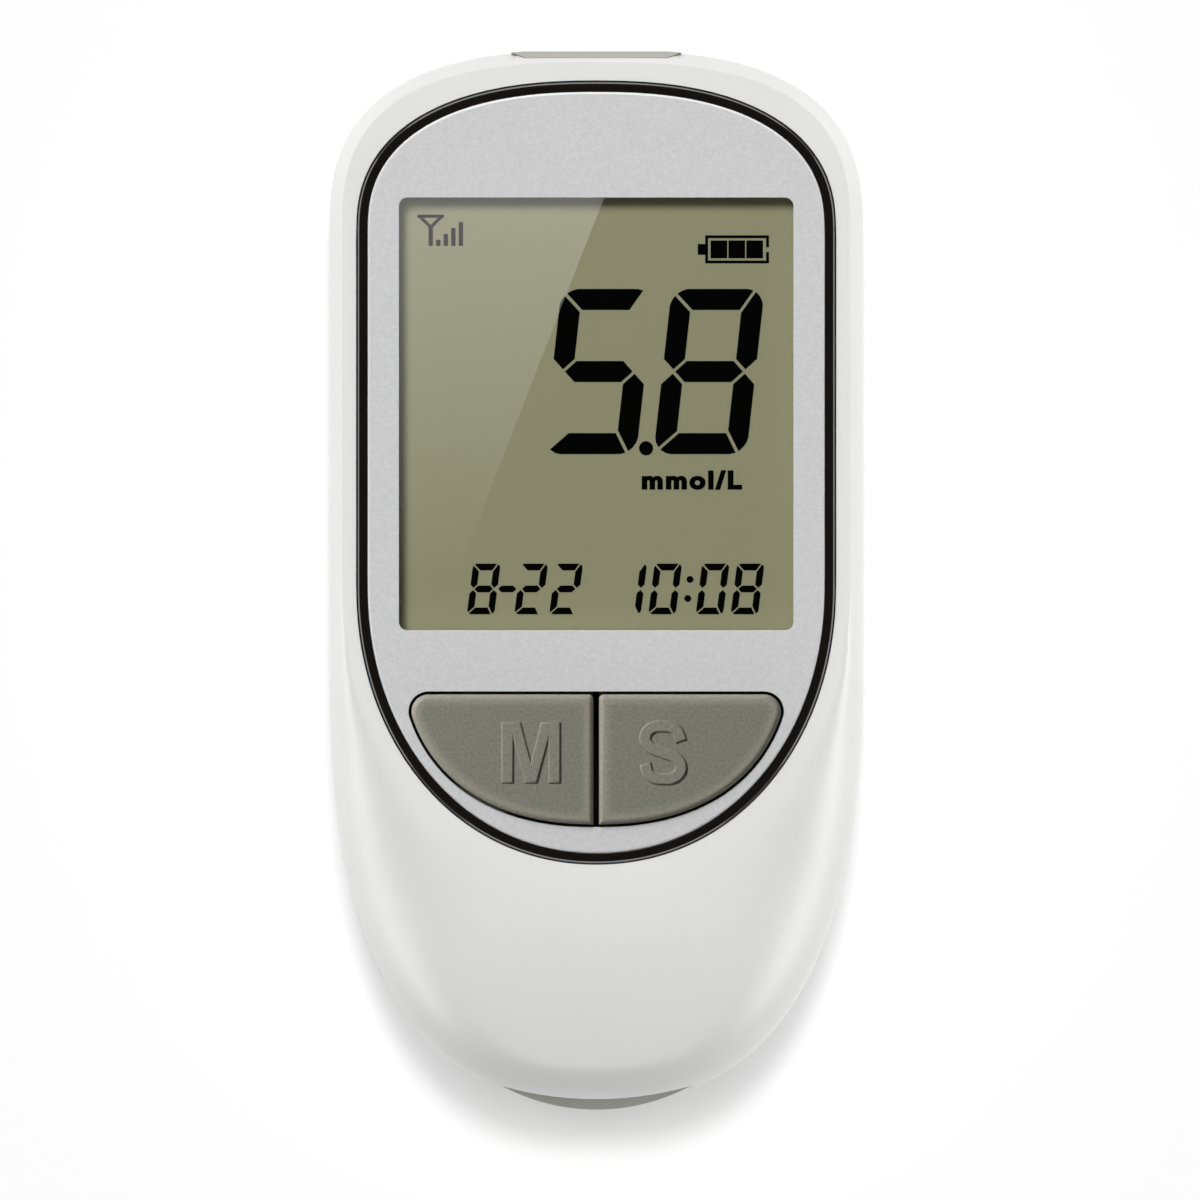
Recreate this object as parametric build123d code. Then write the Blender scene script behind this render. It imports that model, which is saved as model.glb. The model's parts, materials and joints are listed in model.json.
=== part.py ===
from build123d import *
import math
import os

# A hand-held blood glucose meter, lying on its flat back.
# X runs across it, +Y points to the test strip port, +Z out of the display.
# The origin is below the middle of the box, on the plane that it rests on.
# All sizes are in millimetres.

# ---- casing, seen from the front ----
BODY_WIDTH = 56.0
BODY_LENGTH = 111.1  # from the strip port's face to the tip of the door's finger lip
TOP_CROWN = 19.2  # how far the rounded top end reaches past the straight sides
TOP_POWER = 2.72  # squareness of the rounded top end, 2 is an ellipse
LOW_CROWN = 47.4
LOW_POWER = 2.56
LIP_REACH = 0.9  # the finger lip stands out past the casing's lower end
LIP_LAND_REACH = 1.2  # the casing is flattened above the lip, this far from its tip
LIP_LAND_RADIUS = 36.0
WALL = 1.8

# ---- casing, seen from the side ----
PARTING_HEIGHT = 10.5  # where front shell and rear cover meet
BACK_ROLL_WIDTH = 5.0  # the back's rounded edge, across
BACK_ROLL_HEIGHT = 8.5  # and along Z
BEVEL_WIDTH = 1.4  # the narrow bevel beside the rim
BEVEL_SLOPE = 1.3  # its steepness where it meets the rim, a tangent
SIDE_ROLL_SHARE = 0.48  # of the front shell's height, rounded in beside the rim
CHIN_DROP = 2.6  # the chin's lower end lies this far below the rim
CHIN_ROLL_WIDTH = 4.8
CHIN_ROLL_SHARE = 0.78
FLANK_SWELL = 6.5  # extra width of the rounded flank beside the keys' lower end
REVEAL = 0.15  # the rear cover stays back this far, which shows the parting line
SEAM_LIP_HEIGHT = 1.0  # the rear cover's lip stands up inside the front shell

# ---- trim ring and faceplate ----
RIM_SIDE = 2.87  # casing edge to trim ring, at the sides
RIM_TOP = 3.3  # the same at the top end
RING_LENGTH = 82.1
RING_TOP_CROWN = 15.8
RING_TOP_POWER = 2.4
RING_LOW_CROWN = 29.2
RING_LOW_POWER = 2.08
RING_WIDTH = 1.17
RING_PROUD = 0.15  # above the rim
RING_CHAMFER = 0.3
FACEPLATE_PROUD = 0.3
FACEPLATE_THICKNESS = 1.6
FACEPLATE_CHAMFER = 0.2
SHELF_THICKNESS = 1.5  # the front shell's floor that the faceplate lies on

# ---- display ----
WINDOW_WIDTH = 41.3
WINDOW_HEIGHT = 45.3
WINDOW_RADIUS = 0.9
WINDOW_BELOW_PLATE_TOP = 11.1
LENS_THICKNESS = 1.0
LENS_OVERLAP = 1.0  # the clear window reaches under the faceplate's edge
GASKET_THICKNESS = 0.2
GASKET_INSET = 0.2  # from the window's edge, out of sight
LCD_MARGIN_SIDE = 1.25  # display glass past the window's opening
LCD_MARGIN_TOP = 1.75
LCD_MARGIN_LOW = 0.8
LCD_LEDGE = 2.4  # the front sheet's contact ledge, past the rear sheet
LCD_PLAY = 0.25  # around the display glass
LCD_SHEET = 1.0  # one of the two glass sheets
POLARISER_THICKNESS = 0.15
HOLDER_WALL = 1.0
HOLDER_HEIGHT = 3.6  # board to the display's reflector
HOLDER_SEAT = 1.6
HOLDER_UNDER_SHELF = 0.1
ZEBRA_WIDTH = 1.8
ZEBRA_LENGTH = 38.0

# ---- keys ----
KEYS_BELOW_WINDOW = 6.4
KEYS_HEIGHT = 14.2
KEYS_HALF_WIDTH = 20.5
KEYS_CROWN = 18.3
KEYS_POWER = 2.3
KEYS_CORNER = 2.1
KEY_GAP = 0.3  # around each key
KEY_SPLIT = 0.6  # between the two keys
KEY_INNER_CORNER = 0.5
KEY_PROUD = 0.7  # above the faceplate
KEY_EDGE = 0.6
KEY_TRAVEL = 0.6
KEY_FLANGE = 0.8  # the rim that keeps a key in, across
KEY_FLANGE_THICKNESS = 1.0
KEY_FLANGE_GAP = 0.15
KEY_STEM_RADIUS = 3.0
KEY_CENTRE_X = 9.6
KEY_CENTRE_BELOW = 6.4  # below the keys' upper edge
DOME_RADIUS = 3.0
DOME_HEIGHT = 0.3
DOME_GAP = 0.05  # dome to stem, with the key pressed
MAT_THICKNESS = 0.6
MAT_MARGIN = 1.2
MAT_OPENING = 0.4

# ---- batteries, their bay and the sliding door ----
CELL_DIAMETER = 10.5
CELL_LENGTH = 44.5
CELL_NUB_RADIUS = 1.9
CELL_NUB_HEIGHT = 0.9
CELL_EDGE = 0.4  # rounding of the can's ends
CELL_PITCH = 11.0
CELL_CLEARANCE = 0.3
SPRING_LENGTH = 4.0
SPRING_WIRE = 0.5
SPRING_RADIUS = 2.4
SPRING_TURNS = 3
SPRING_SET = 0.1  # the coil's first turn is let into its plate this far
CONTACT_THICKNESS = 0.4
CONTACT_WIDTH = 8.0
CONTACT_HEIGHT = 7.0
CONTACT_TAB = 2.4
BAY_WALL = 1.2
BAY_ROOF = 0.8
BAY_END_INSET = 7.6  # bay's lower end wall, from the casing's lower end
DOOR_RECESS = 0.3  # the door stays clear of the table
DOOR_THICKNESS = 1.5
DOOR_SIDE = 3.0  # past the cells' bay, on each side
DOOR_GAP = 0.15
DOOR_UNDER_CELLS = 0.4
TONGUE_WIDTH = 0.9
TONGUE_THICKNESS = 0.6
RAIL_WIDTH = 1.6
LIP_HALF_CHORD = 10.3
LIP_RADIUS = 21.0
LIP_WALL = 1.6
GRIP_RIBS = 6
GRIP_PITCH = 1.8
GRIP_HEIGHT = 0.2
GRIP_HALF_WIDTH = 6.0
LABEL_SIZE = (34.0, 15.0)  # a bare shallow recess on the back
LABEL_PLACE = (0.0, 17.0)
LABEL_RADIUS = 1.5
LABEL_DEPTH = 0.2

# ---- board and what is on it ----
BOARD_THICKNESS = 1.2
BOARD_CLEARANCE = 0.9
BOARD_ABOVE_BAY = 0.6
BOARD_LOW_REACH = 3.0  # past the keys' lower edge
CONNECTOR_SIZE = (11.0, 7.0, 3.2)
CONNECTOR_SETBACK = 1.0  # from the board's edge
CONNECTOR_WALL = 1.2  # behind the strip's end
STRIP_SLOT = (6.6, 1.3)
STRIP_SLOT_HEIGHT = 1.0  # above the board
CONTACT_COUNT = 5
CONTACT_PITCH = 1.1
LEAF_WIDTH = 0.6
LEAF_THICKNESS = 0.2
LEAF_SETBACK = 1.0
RADIO_SIZE = (18.0, 24.0, 2.4)
ANTENNA_SIZE = (9.0, 3.0, 1.6)
PROCESSOR_SIZE = (7.0, 7.0, 1.0)
MEMORY_SIZE = (5.0, 4.0, 0.9)
CRYSTAL_SIZE = (3.2, 1.5, 0.8)
CAPACITOR_SIZE = (7.3, 4.3, 2.9)
BUZZER_RADIUS = 4.5
BUZZER_HEIGHT = 3.0
RADIO_PLACE = (-8.0, 25.0)
ANTENNA_PLACE = (0.0, 46.0)
PROCESSOR_PLACE = (9.0, 12.0)
MEMORY_PLACE = (18.0, 12.0)
CRYSTAL_PLACE = (9.0, 20.0)
CAPACITOR_PLACE = (-14.0, 8.0)
BUZZER_PLACE = (12.0, 33.0)
SOUND_HOLE_RADIUS = 0.5
SOUND_HOLE_PITCH = 1.8

# ---- screws and posts ----
HOUSING_SCREW_RADIUS = 1.0
HOUSING_HEAD_RADIUS = 1.9
HOUSING_HEAD_HEIGHT = 1.3
HOUSING_SCREW_LENGTH = 7.0
HOUSING_POST_RADIUS = 3.0
HOUSING_POST_FLOOR = 1.8
TOP_POST_INSET = 8.0  # from the casing's side to a post's axis
TOP_POST_CLEARANCE = 0.5  # from the display's holder
LOW_POST_CLEARANCE = 1.8  # from the board's lower edge
BOARD_SCREW_RADIUS = 0.8
BOARD_HEAD_RADIUS = 1.5
BOARD_HEAD_HEIGHT = 1.0
BOARD_SCREW_LENGTH = 4.0
BOARD_BOSS_RADIUS = 1.9
BOARD_TOP_SCREW_X = 12.4
BOARD_TOP_SCREW_BELOW_END = 8.0
BOARD_SIDE_SCREW_CLEARANCE = 0.3  # from a key's rim to the boss
BOARD_SIDE_SCREW_BELOW_KEYS = 1.6  # below the keys' upper edge
SCREW_PLAY = 0.05  # around a screw in its hole
HEAD_PLAY = 0.25
HEAD_ROUNDING = 0.3  # share of the head's height
CROSS_DEPTH = 0.6  # share of the head's height
CROSS_REACH = 0.65  # share of the head's radius
CROSS_WIDTH = 0.22  # share of the shank's width

# ---- strip port ----
NOTCH_HALF_WIDTH = 7.5
NOTCH_FLARE = 1.9
NOTCH_DEPTH = 0.75  # behind the insert's flat face
NOTCH_ABOVE_SEAM = 2.0
PORT_FACE_INSET = 0.2  # the insert's flat face, from the top end's rounding
PORT_TOP_BELOW_RIM = 2.4
PORT_BODY_HALF_WIDTH = 6.2
PORT_BODY_HEIGHT = 3.0
PORT_TO_CONNECTOR = 0.05

# ---- assembly play ----
FIT = 0.04  # between pieces that are pressed or glued together

# ---- places that follow from the sizes ----
HALF_WIDTH = BODY_WIDTH / 2
PORT_FACE = BODY_LENGTH / 2
TOP_END = PORT_FACE + PORT_FACE_INSET
TIP_END = -BODY_LENGTH / 2
LOW_END = TIP_END + LIP_REACH

RING_HALF_WIDTH = HALF_WIDTH - RIM_SIDE
RING_TOP = TOP_END - RIM_TOP
RING_LOW = RING_TOP - RING_LENGTH

WINDOW_TOP = RING_TOP - RING_WIDTH - WINDOW_BELOW_PLATE_TOP
WINDOW_LOW = WINDOW_TOP - WINDOW_HEIGHT
WINDOW_MIDDLE = (WINDOW_TOP + WINDOW_LOW) / 2
KEYS_TOP = WINDOW_LOW - KEYS_BELOW_WINDOW
KEYS_LOW = KEYS_TOP - KEYS_HEIGHT
KEY_CENTRE_Y = KEYS_TOP - KEY_CENTRE_BELOW

DOOR_FACE = DOOR_RECESS
DOOR_INNER = DOOR_FACE + DOOR_THICKNESS
CELL_AXIS = DOOR_INNER + DOOR_UNDER_CELLS + CELL_DIAMETER / 2
BAY_CEILING = CELL_AXIS + CELL_DIAMETER / 2 + CELL_CLEARANCE
BAY_TOP = BAY_CEILING + BAY_ROOF
BOARD_LOW = BAY_TOP + BOARD_ABOVE_BAY
BOARD_TOP = BOARD_LOW + BOARD_THICKNESS
REFLECTOR_LOW = BOARD_TOP + HOLDER_HEIGHT
LCD_LOW = REFLECTOR_LOW + POLARISER_THICKNESS
LCD_TOP = LCD_LOW + 2 * LCD_SHEET
POLARISER_TOP = LCD_TOP + POLARISER_THICKNESS
SHELF_TOP = POLARISER_TOP + GASKET_THICKNESS
SHELF_LOW = SHELF_TOP - SHELF_THICKNESS
FACEPLATE_TOP = SHELF_TOP + FACEPLATE_THICKNESS
RIM_HEIGHT = FACEPLATE_TOP - FACEPLATE_PROUD
KEY_TOP = FACEPLATE_TOP + KEY_PROUD
FLANGE_TOP = SHELF_LOW - KEY_FLANGE_GAP
FLANGE_LOW = FLANGE_TOP - KEY_FLANGE_THICKNESS
STEM_LOW = BOARD_TOP + DOME_HEIGHT + DOME_GAP + KEY_TRAVEL

BAY_HALF_WIDTH = CELL_PITCH / 2 + CELL_DIAMETER / 2 + CELL_CLEARANCE
BAY_LOW_END = LOW_END + BAY_END_INSET
BAY_TOP_END = BAY_LOW_END + CELL_LENGTH + SPRING_LENGTH + 2 * CONTACT_THICKNESS
DOOR_HALF_WIDTH = BAY_HALF_WIDTH + DOOR_SIDE
DOOR_TOP_END = BAY_TOP_END + BAY_WALL
TONGUE_LOW = DOOR_FACE + (DOOR_THICKNESS - TONGUE_THICKNESS) / 2
RAIL_TOP = DOOR_INNER + DOOR_GAP + RAIL_WIDTH
RAIL_HALF_WIDTH = DOOR_HALF_WIDTH + TONGUE_WIDTH + DOOR_GAP + RAIL_WIDTH

HOLDER_TOP = WINDOW_TOP + LCD_MARGIN_TOP + LCD_PLAY + HOLDER_WALL
BOARD_END = KEYS_LOW - BOARD_LOW_REACH
LOW_POST_Y = BOARD_END - LOW_POST_CLEARANCE - HOUSING_POST_RADIUS

NOTCH_LOW = PARTING_HEIGHT + NOTCH_ABOVE_SEAM
SLOT_AXIS = BOARD_TOP + STRIP_SLOT_HEIGHT + STRIP_SLOT[1] / 2
CONNECTOR_FACE = TOP_END - WALL - BOARD_CLEARANCE - CONNECTOR_SETBACK

BOARD_SIDE_SCREW_X = KEYS_HALF_WIDTH + KEY_FLANGE + BOARD_SIDE_SCREW_CLEARANCE + BOARD_BOSS_RADIUS
HOUSING_POSTS = [
    (side * x, y)
    for x, y in (
        (HALF_WIDTH - TOP_POST_INSET, HOLDER_TOP + TOP_POST_CLEARANCE + HOUSING_POST_RADIUS),
        (RAIL_HALF_WIDTH + HOUSING_HEAD_RADIUS + HEAD_PLAY, LOW_POST_Y),
    )
    for side in (-1, 1)
]
BOARD_BOSSES = [
    (side * x, y)
    for x, y in (
        (BOARD_TOP_SCREW_X, TOP_END - BOARD_TOP_SCREW_BELOW_END),
        (BOARD_SIDE_SCREW_X, KEYS_TOP - BOARD_SIDE_SCREW_BELOW_KEYS),
    )
    for side in (-1, 1)
]


# ---- outlines: straight sides between two rounded ends ----
CROWN_STEPS = 12  # points round a quarter of an end
SIDE_STEPS = 8  # spans along a straight side


def crown_point(half_width, reach, power, angle):
    """A point on a superellipse, seen from its centre, and the outward normal there."""
    across = math.cos(angle)
    along = math.sin(angle)
    radius = ((abs(across) / half_width) ** power + (abs(along) / reach) ** power) ** (-1 / power)
    x = radius * across
    y = radius * along
    nx = math.copysign((abs(x) / half_width) ** (power - 1) / half_width, x)
    ny = math.copysign((abs(y) / reach) ** (power - 1) / reach, y)
    size = math.hypot(nx, ny)
    return x, y, nx / size, ny / size


class Outline:
    """A closed outline with mirror-equal sides, given from its top end to its low end."""

    def __init__(self, half_width, top, top_crown, top_power, low, low_crown, low_power):
        self.half_width = half_width
        self.top_centre = top - top_crown
        self.top_crown = top_crown
        self.top_power = top_power
        self.low_centre = low + low_crown
        self.low_crown = low_crown
        self.low_power = low_power

    def stations(self, skew=0.0):
        """Points down the right side, from the top end to the tip, as (x, y, nx, ny, low angle).

        The low angle is 0 where the side runs into the low end, 90 at the tip, and negative above.
        skew moves the low end's points towards the tip by up to so many degrees.
        """
        found = []
        side_length = self.top_centre - self.low_centre
        for step in range(CROWN_STEPS, -1, -1):
            angle = math.pi / 2 * step / CROWN_STEPS
            x, y, nx, ny = crown_point(self.half_width, self.top_crown, self.top_power, angle)
            found.append((x, y + self.top_centre, nx, ny, self.side_angle(self.top_centre + y)))
        for step in range(1, SIDE_STEPS):
            y = self.top_centre - side_length * step / SIDE_STEPS
            found.append((self.half_width, y, 1.0, 0.0, self.side_angle(y)))
        for step in range(CROWN_STEPS + 1):
            angle = math.pi / 2 * step / CROWN_STEPS
            shifted = angle + math.radians(skew) * math.sin(2 * angle)
            x, y, nx, ny = crown_point(self.half_width, self.low_crown, self.low_power, shifted)
            found.append((x, self.low_centre - y, nx, -ny, math.degrees(angle)))
        return found

    def side_angle(self, y):
        return -math.degrees((y - self.low_centre) / self.half_width)

    def points(self, inset=0.0, z=0.0):
        return [(x - nx * inset, y - ny * inset, z) for x, y, nx, ny, _ in self.stations()]

    def face(self, z, inset=0.0):
        right = half_curve(self.points(inset, z))
        return Face(Wire([right, right.mirror(Plane.YZ)]))

    def prism(self, low, high, inset=0.0):
        return extrude(self.face(low, inset), amount=high - low, dir=(0, 0, 1))


def half_curve(points):
    """A smooth curve down the right side that meets its mirror image without a kink."""
    ends = [(0.0, *point[1:]) for point in (points[0], points[-1])]
    whole = [ends[0], *points[1:-1], ends[1]]
    return Edge.make_spline(whole, tangents=[(1, 0, 0), (-1, 0, 0)], scale=False)


CASING = Outline(HALF_WIDTH, TOP_END, TOP_CROWN, TOP_POWER, LOW_END, LOW_CROWN, LOW_POWER)
RING = Outline(
    RING_HALF_WIDTH, RING_TOP, RING_TOP_CROWN, RING_TOP_POWER, RING_LOW, RING_LOW_CROWN, RING_LOW_POWER
)


def smooth_step(value, start, end):
    share = min(1.0, max(0.0, (value - start) / (end - start)))
    return share * share * (3 - 2 * share)


def box(low, high):
    """A box between two corners."""
    size = [b - a for a, b in zip(low, high)]
    return Pos(*low) * Box(*size, align=(Align.MIN, Align.MIN, Align.MIN))


def cylinder(x, y, low, high, radius):
    return Pos(x, y, low) * Cylinder(radius, high - low, align=(Align.CENTER, Align.CENTER, Align.MIN))


# ---- the front shell's skin ----
RING_SKEW = 15.0  # degrees; turns the skin's lines on the chin square to the casing's edge
FLANK_CENTRE = 40.0  # low angle, in degrees, of the widest rounding
FLANK_SPREAD = 24.0
CHIN_START = 30.0  # low angle where the chin begins to fall
CHIN_END = 90.0
CREASE_FADE = (-30.0, 20.0)  # low angles between which the sharp crease fades out
UNDERLAP = 0.6  # the skin runs in under the ring this far, so that cuts are clean
ROLL_TURNS = [math.radians(turn) for turn in range(0, 91, 15)]  # the curves round a rolled edge
TOP_SHARES = [step / 5 for step in range(5, -1, -1)]  # the curves from the crease to the ring


def front_skin(inset, rim, inner_line):
    """The solid inside the front's skin, moved in by inset, with its flat top at height rim.

    The skin is two bands: a wall that rolls in to a crease line, and a top face from that
    crease to inner_line. The crease is sharp beside the rim and fades out on the chin.
    """
    roll = []
    top = []
    casing = CASING.stations()
    inner = [(x - nx * inner_line, y - ny * inner_line) for x, y, nx, ny, _ in RING.stations(RING_SKEW)]
    crease = []
    for (x, y, nx, ny, angle), (ring_x, ring_y) in zip(casing, inner):
        swell = FLANK_SWELL * math.exp(-(((angle - FLANK_CENTRE) / FLANK_SPREAD) ** 2))
        chin = smooth_step(angle, 0.0, CHIN_END)
        width = BEVEL_WIDTH + (CHIN_ROLL_WIDTH - BEVEL_WIDTH) * chin + swell
        drop = CHIN_DROP * smooth_step(angle, CHIN_START, CHIN_END)
        rolled_share = SIDE_ROLL_SHARE + (CHIN_ROLL_SHARE - SIDE_ROLL_SHARE) * chin
        height = (rim - drop - PARTING_HEIGHT) * rolled_share
        cx = x - nx * (inset + width)
        cy = y - ny * (inset + width)
        run = math.hypot(cx - ring_x, cy - ring_y)
        fade = smooth_step(angle, *CREASE_FADE)
        slope = BEVEL_SLOPE * (1 - fade) + 2 * drop / run * fade
        crease.append((cx, cy, rim - drop, width, height, slope, drop))
    foot = CASING.points(inset, PARTING_HEIGHT)
    for turn in ROLL_TURNS:
        run_in = 1 - math.cos(turn)
        rise = math.sin(turn)
        roll.append(
            [
                (
                    x - nx * (inset + c[3] * run_in),
                    y - ny * (inset + c[3] * run_in),
                    c[2] - c[5] * c[3] * (1 - run_in) - (c[4] - c[5] * c[3]) * (1 - rise),
                )
                for (x, y, nx, ny, _), c in zip(casing, crease)
            ]
        )
    for share in TOP_SHARES:
        top.append(
            [
                (rx + (c[0] - rx) * share, ry + (c[1] - ry) * share, rim - c[6] * share**2)
                for (rx, ry), c in zip(inner, crease)
            ]
        )
    return skin_solid([[foot, roll[0]], roll, top])


def skin_solid(bands):
    """A solid between bands of half curves: each band is a smooth skin, mirrored to the left side."""
    curves = [[half_curve(points) for points in band] for band in bands]
    faces = []
    for band in curves:
        right = Shell.make_loft([Wire([curve]) for curve in band])
        faces += right.faces() + right.mirror(Plane.YZ).faces()
    for curve in (curves[0][0], curves[-1][-1]):
        faces.append(Face(Wire([curve, curve.mirror(Plane.YZ)])))
    return Solid(Shell(faces))


def back_skin(inset, floor, high):
    """The solid inside the back's skin, moved in by inset, from height floor to height high."""
    band = []
    for turn in ROLL_TURNS:
        run_in = (1 - math.sin(turn)) * BACK_ROLL_WIDTH
        z = floor + (1 - math.cos(turn)) * BACK_ROLL_HEIGHT
        band.append(CASING.points(inset + run_in, z))
    band.append(CASING.points(inset, high))
    return skin_solid([band])


def keys_opening(inset, low, high):
    """The keys' common opening: flat on top, a rounded bowl below, with rounded upper corners."""
    half_width = KEYS_HALF_WIDTH - inset
    crown = KEYS_CROWN - inset
    centre = KEYS_LOW + KEYS_CROWN
    top = KEYS_TOP - inset
    start = 1 - (abs(top - centre) / crown) ** KEYS_POWER
    corner = half_width * start ** (1 / KEYS_POWER)
    begin = math.atan2(centre - top, corner)
    points = []
    for step in range(2 * CROWN_STEPS + 1):
        angle = begin + (math.pi - 2 * begin) * step / (2 * CROWN_STEPS)
        x, y, _, _ = crown_point(half_width, crown, KEYS_POWER, angle)
        points.append((x, centre - y, low))
    bowl = Edge.make_spline(points)
    edge = Edge.make_line(points[-1], points[0])
    face = Face(Wire([bowl, edge]))
    face = face.fillet_2d(KEYS_CORNER - inset, face.vertices())
    return extrude(face, amount=high - low, dir=(0, 0, 1))


def lcd_sheet(low, high, ledge, margin=0.0):
    """One sheet of the display's outline, with or without its contact ledge, grown by margin."""
    width = WINDOW_WIDTH + 2 * LCD_MARGIN_SIDE + 2 * margin
    top = WINDOW_TOP + LCD_MARGIN_TOP + margin
    bottom = WINDOW_LOW - LCD_MARGIN_LOW - ledge - margin
    return box((-width / 2, bottom, low), (width / 2, top, high))


def window_block(low, high, growth, radius=WINDOW_RADIUS):
    """The display window's opening, grown by growth on every side."""
    size = (WINDOW_WIDTH + 2 * growth, WINDOW_HEIGHT + 2 * growth)
    outline = RectangleRounded(*size, radius + max(growth, 0.0))
    return Pos(0, WINDOW_MIDDLE, low) * extrude(outline, amount=high - low)


def port_notch(low, high, play):
    """The shallow flared notch in the casing's top end, down from the insert's flat face."""
    bottom = PORT_FACE - NOTCH_DEPTH + play
    over = PORT_FACE + 2
    flare = NOTCH_FLARE / NOTCH_DEPTH
    half = NOTCH_HALF_WIDTH - play
    reach = half + flare * (over - bottom)
    outline = Polyline((-half, bottom), (half, bottom), (reach, over), (-reach, over), close=True)
    return Pos(0, 0, low) * extrude(make_face(outline), amount=high - low)


def port_body(inner_end, play):
    low = SLOT_AXIS - PORT_BODY_HEIGHT / 2 - play
    high = SLOT_AXIS + PORT_BODY_HEIGHT / 2 + play
    half = PORT_BODY_HALF_WIDTH + play
    return box((-half, inner_end, low), (half, PORT_FACE - NOTCH_DEPTH / 2, high))


def strip_slot(inner_end, outer_end):
    width, height = STRIP_SLOT
    low = SLOT_AXIS - height / 2
    return box((-width / 2, inner_end, low), (width / 2, outer_end, low + height))


# ---- casing pieces ----
def end_facet():
    """What the top end's rounding would have past the insert's flat face."""
    return box((-HALF_WIDTH, PORT_FACE - FIT, -1), (HALF_WIDTH, PORT_FACE + 5, KEY_TOP + 1))


def lip_land():
    """What is cut off the casing's lower end, to lie flat above the door's finger lip."""
    corner = box(
        (-LIP_HALF_CHORD, TIP_END - 1, -1),
        (LIP_HALF_CHORD, TIP_END + LIP_LAND_REACH + LIP_HALF_CHORD / 2, KEY_TOP + 1),
    )
    centre = TIP_END + LIP_LAND_REACH + LIP_LAND_RADIUS
    return corner - cylinder(0, centre, -2, KEY_TOP + 2, LIP_LAND_RADIUS)


def seam_prism(play):
    """What the rear cover's standing lip takes up inside the front shell, with play around it."""
    return CASING.prism(PARTING_HEIGHT - 1, PARTING_HEIGHT + SEAM_LIP_HEIGHT, WALL / 2 - play + FIT)


def front_shell():
    shell = front_skin(0.0, RIM_HEIGHT, UNDERLAP)
    hollow = front_skin(WALL, SHELF_LOW, RING_WIDTH + WALL) + seam_prism(FIT)
    for x, y in HOUSING_POSTS:
        hollow -= cylinder(x, y, PARTING_HEIGHT - 1, RIM_HEIGHT, HOUSING_POST_RADIUS)
    for x, y in BOARD_BOSSES:
        hollow -= cylinder(x, y, BOARD_TOP, RIM_HEIGHT, BOARD_BOSS_RADIUS)
    shell -= hollow
    shell -= RING.prism(SHELF_TOP, RIM_HEIGHT + 1)
    shell -= lcd_sheet(SHELF_LOW - 1, SHELF_TOP + 1, LCD_LEDGE, LCD_PLAY)
    shell -= keys_opening(0.0, SHELF_LOW - 1, SHELF_TOP + 1)
    for x, y in HOUSING_POSTS:
        tip = PARTING_HEIGHT - HOUSING_POST_FLOOR + HOUSING_SCREW_LENGTH + HEAD_PLAY
        shell -= cylinder(x, y, PARTING_HEIGHT - 1, tip, HOUSING_SCREW_RADIUS + SCREW_PLAY)
    for x, y in BOARD_BOSSES:
        tip = BOARD_LOW + BOARD_SCREW_LENGTH + HEAD_PLAY
        shell -= cylinder(x, y, BOARD_TOP - 1, tip, BOARD_SCREW_RADIUS + SCREW_PLAY)
    shell -= end_facet()
    shell -= port_notch(NOTCH_LOW, RIM_HEIGHT + 1, 0)
    shell -= port_body(PORT_FACE - 2 * WALL - NOTCH_DEPTH, FIT)
    shell -= lip_land()
    return shell


def bay_block(low, high, extra_side, extra_end):
    half = BAY_HALF_WIDTH + extra_side
    return box((-half, BAY_LOW_END - extra_end, low), (half, BAY_TOP_END + extra_end, high))


def rear_cover():
    cover = back_skin(REVEAL, 0.0, PARTING_HEIGHT) + seam_prism(0)
    hollow = back_skin(WALL + REVEAL, WALL, PARTING_HEIGHT + SEAM_LIP_HEIGHT + 1)
    for x, y in HOUSING_POSTS:
        hollow -= cylinder(x, y, 0, PARTING_HEIGHT, HOUSING_POST_RADIUS)
    hollow -= bay_block(0, BAY_TOP, BAY_WALL, BAY_WALL)
    hollow -= bay_block(0, RAIL_TOP, RAIL_HALF_WIDTH - BAY_HALF_WIDTH, BAY_WALL + RAIL_WIDTH)
    cover -= hollow
    cover += bay_block(PARTING_HEIGHT - 1, BAY_TOP, BAY_WALL, BAY_WALL)
    cover -= bay_block(-1, BAY_CEILING, 0, 0)
    door_half = DOOR_HALF_WIDTH + DOOR_GAP
    cover -= box(
        (-door_half, TIP_END - 1, -1), (door_half, DOOR_TOP_END + DOOR_GAP, DOOR_INNER + DOOR_GAP)
    )
    groove_half = door_half + TONGUE_WIDTH
    cover -= box(
        (-groove_half, TIP_END - 1, TONGUE_LOW - DOOR_GAP),
        (groove_half, DOOR_TOP_END + DOOR_GAP, TONGUE_LOW + TONGUE_THICKNESS + DOOR_GAP),
    )
    cap_half = LIP_HALF_CHORD + DOOR_GAP
    cover -= box(
        (-cap_half, TIP_END - 1, -1),
        (cap_half, BAY_LOW_END - BAY_WALL, PARTING_HEIGHT + SEAM_LIP_HEIGHT + 1),
    )
    for x, y in HOUSING_POSTS:
        seat = PARTING_HEIGHT - HOUSING_POST_FLOOR
        cover -= cylinder(x, y, -1, PARTING_HEIGHT + 1, HOUSING_SCREW_RADIUS + SCREW_PLAY)
        cover -= cylinder(x, y, -1, seat, HOUSING_HEAD_RADIUS + HEAD_PLAY)
    for side in (-1, 1):
        cover -= contact_tab(side, HEAD_PLAY)
    for step in range(-2, 3):
        x = BUZZER_PLACE[0] + step * SOUND_HOLE_PITCH
        cover -= cylinder(x, BUZZER_PLACE[1], -1, WALL + 1, SOUND_HOLE_RADIUS)
    label = RectangleRounded(*LABEL_SIZE, LABEL_RADIUS)
    cover -= Pos(*LABEL_PLACE, -1) * extrude(label, amount=1 + LABEL_DEPTH)
    return cover - end_facet()


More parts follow.
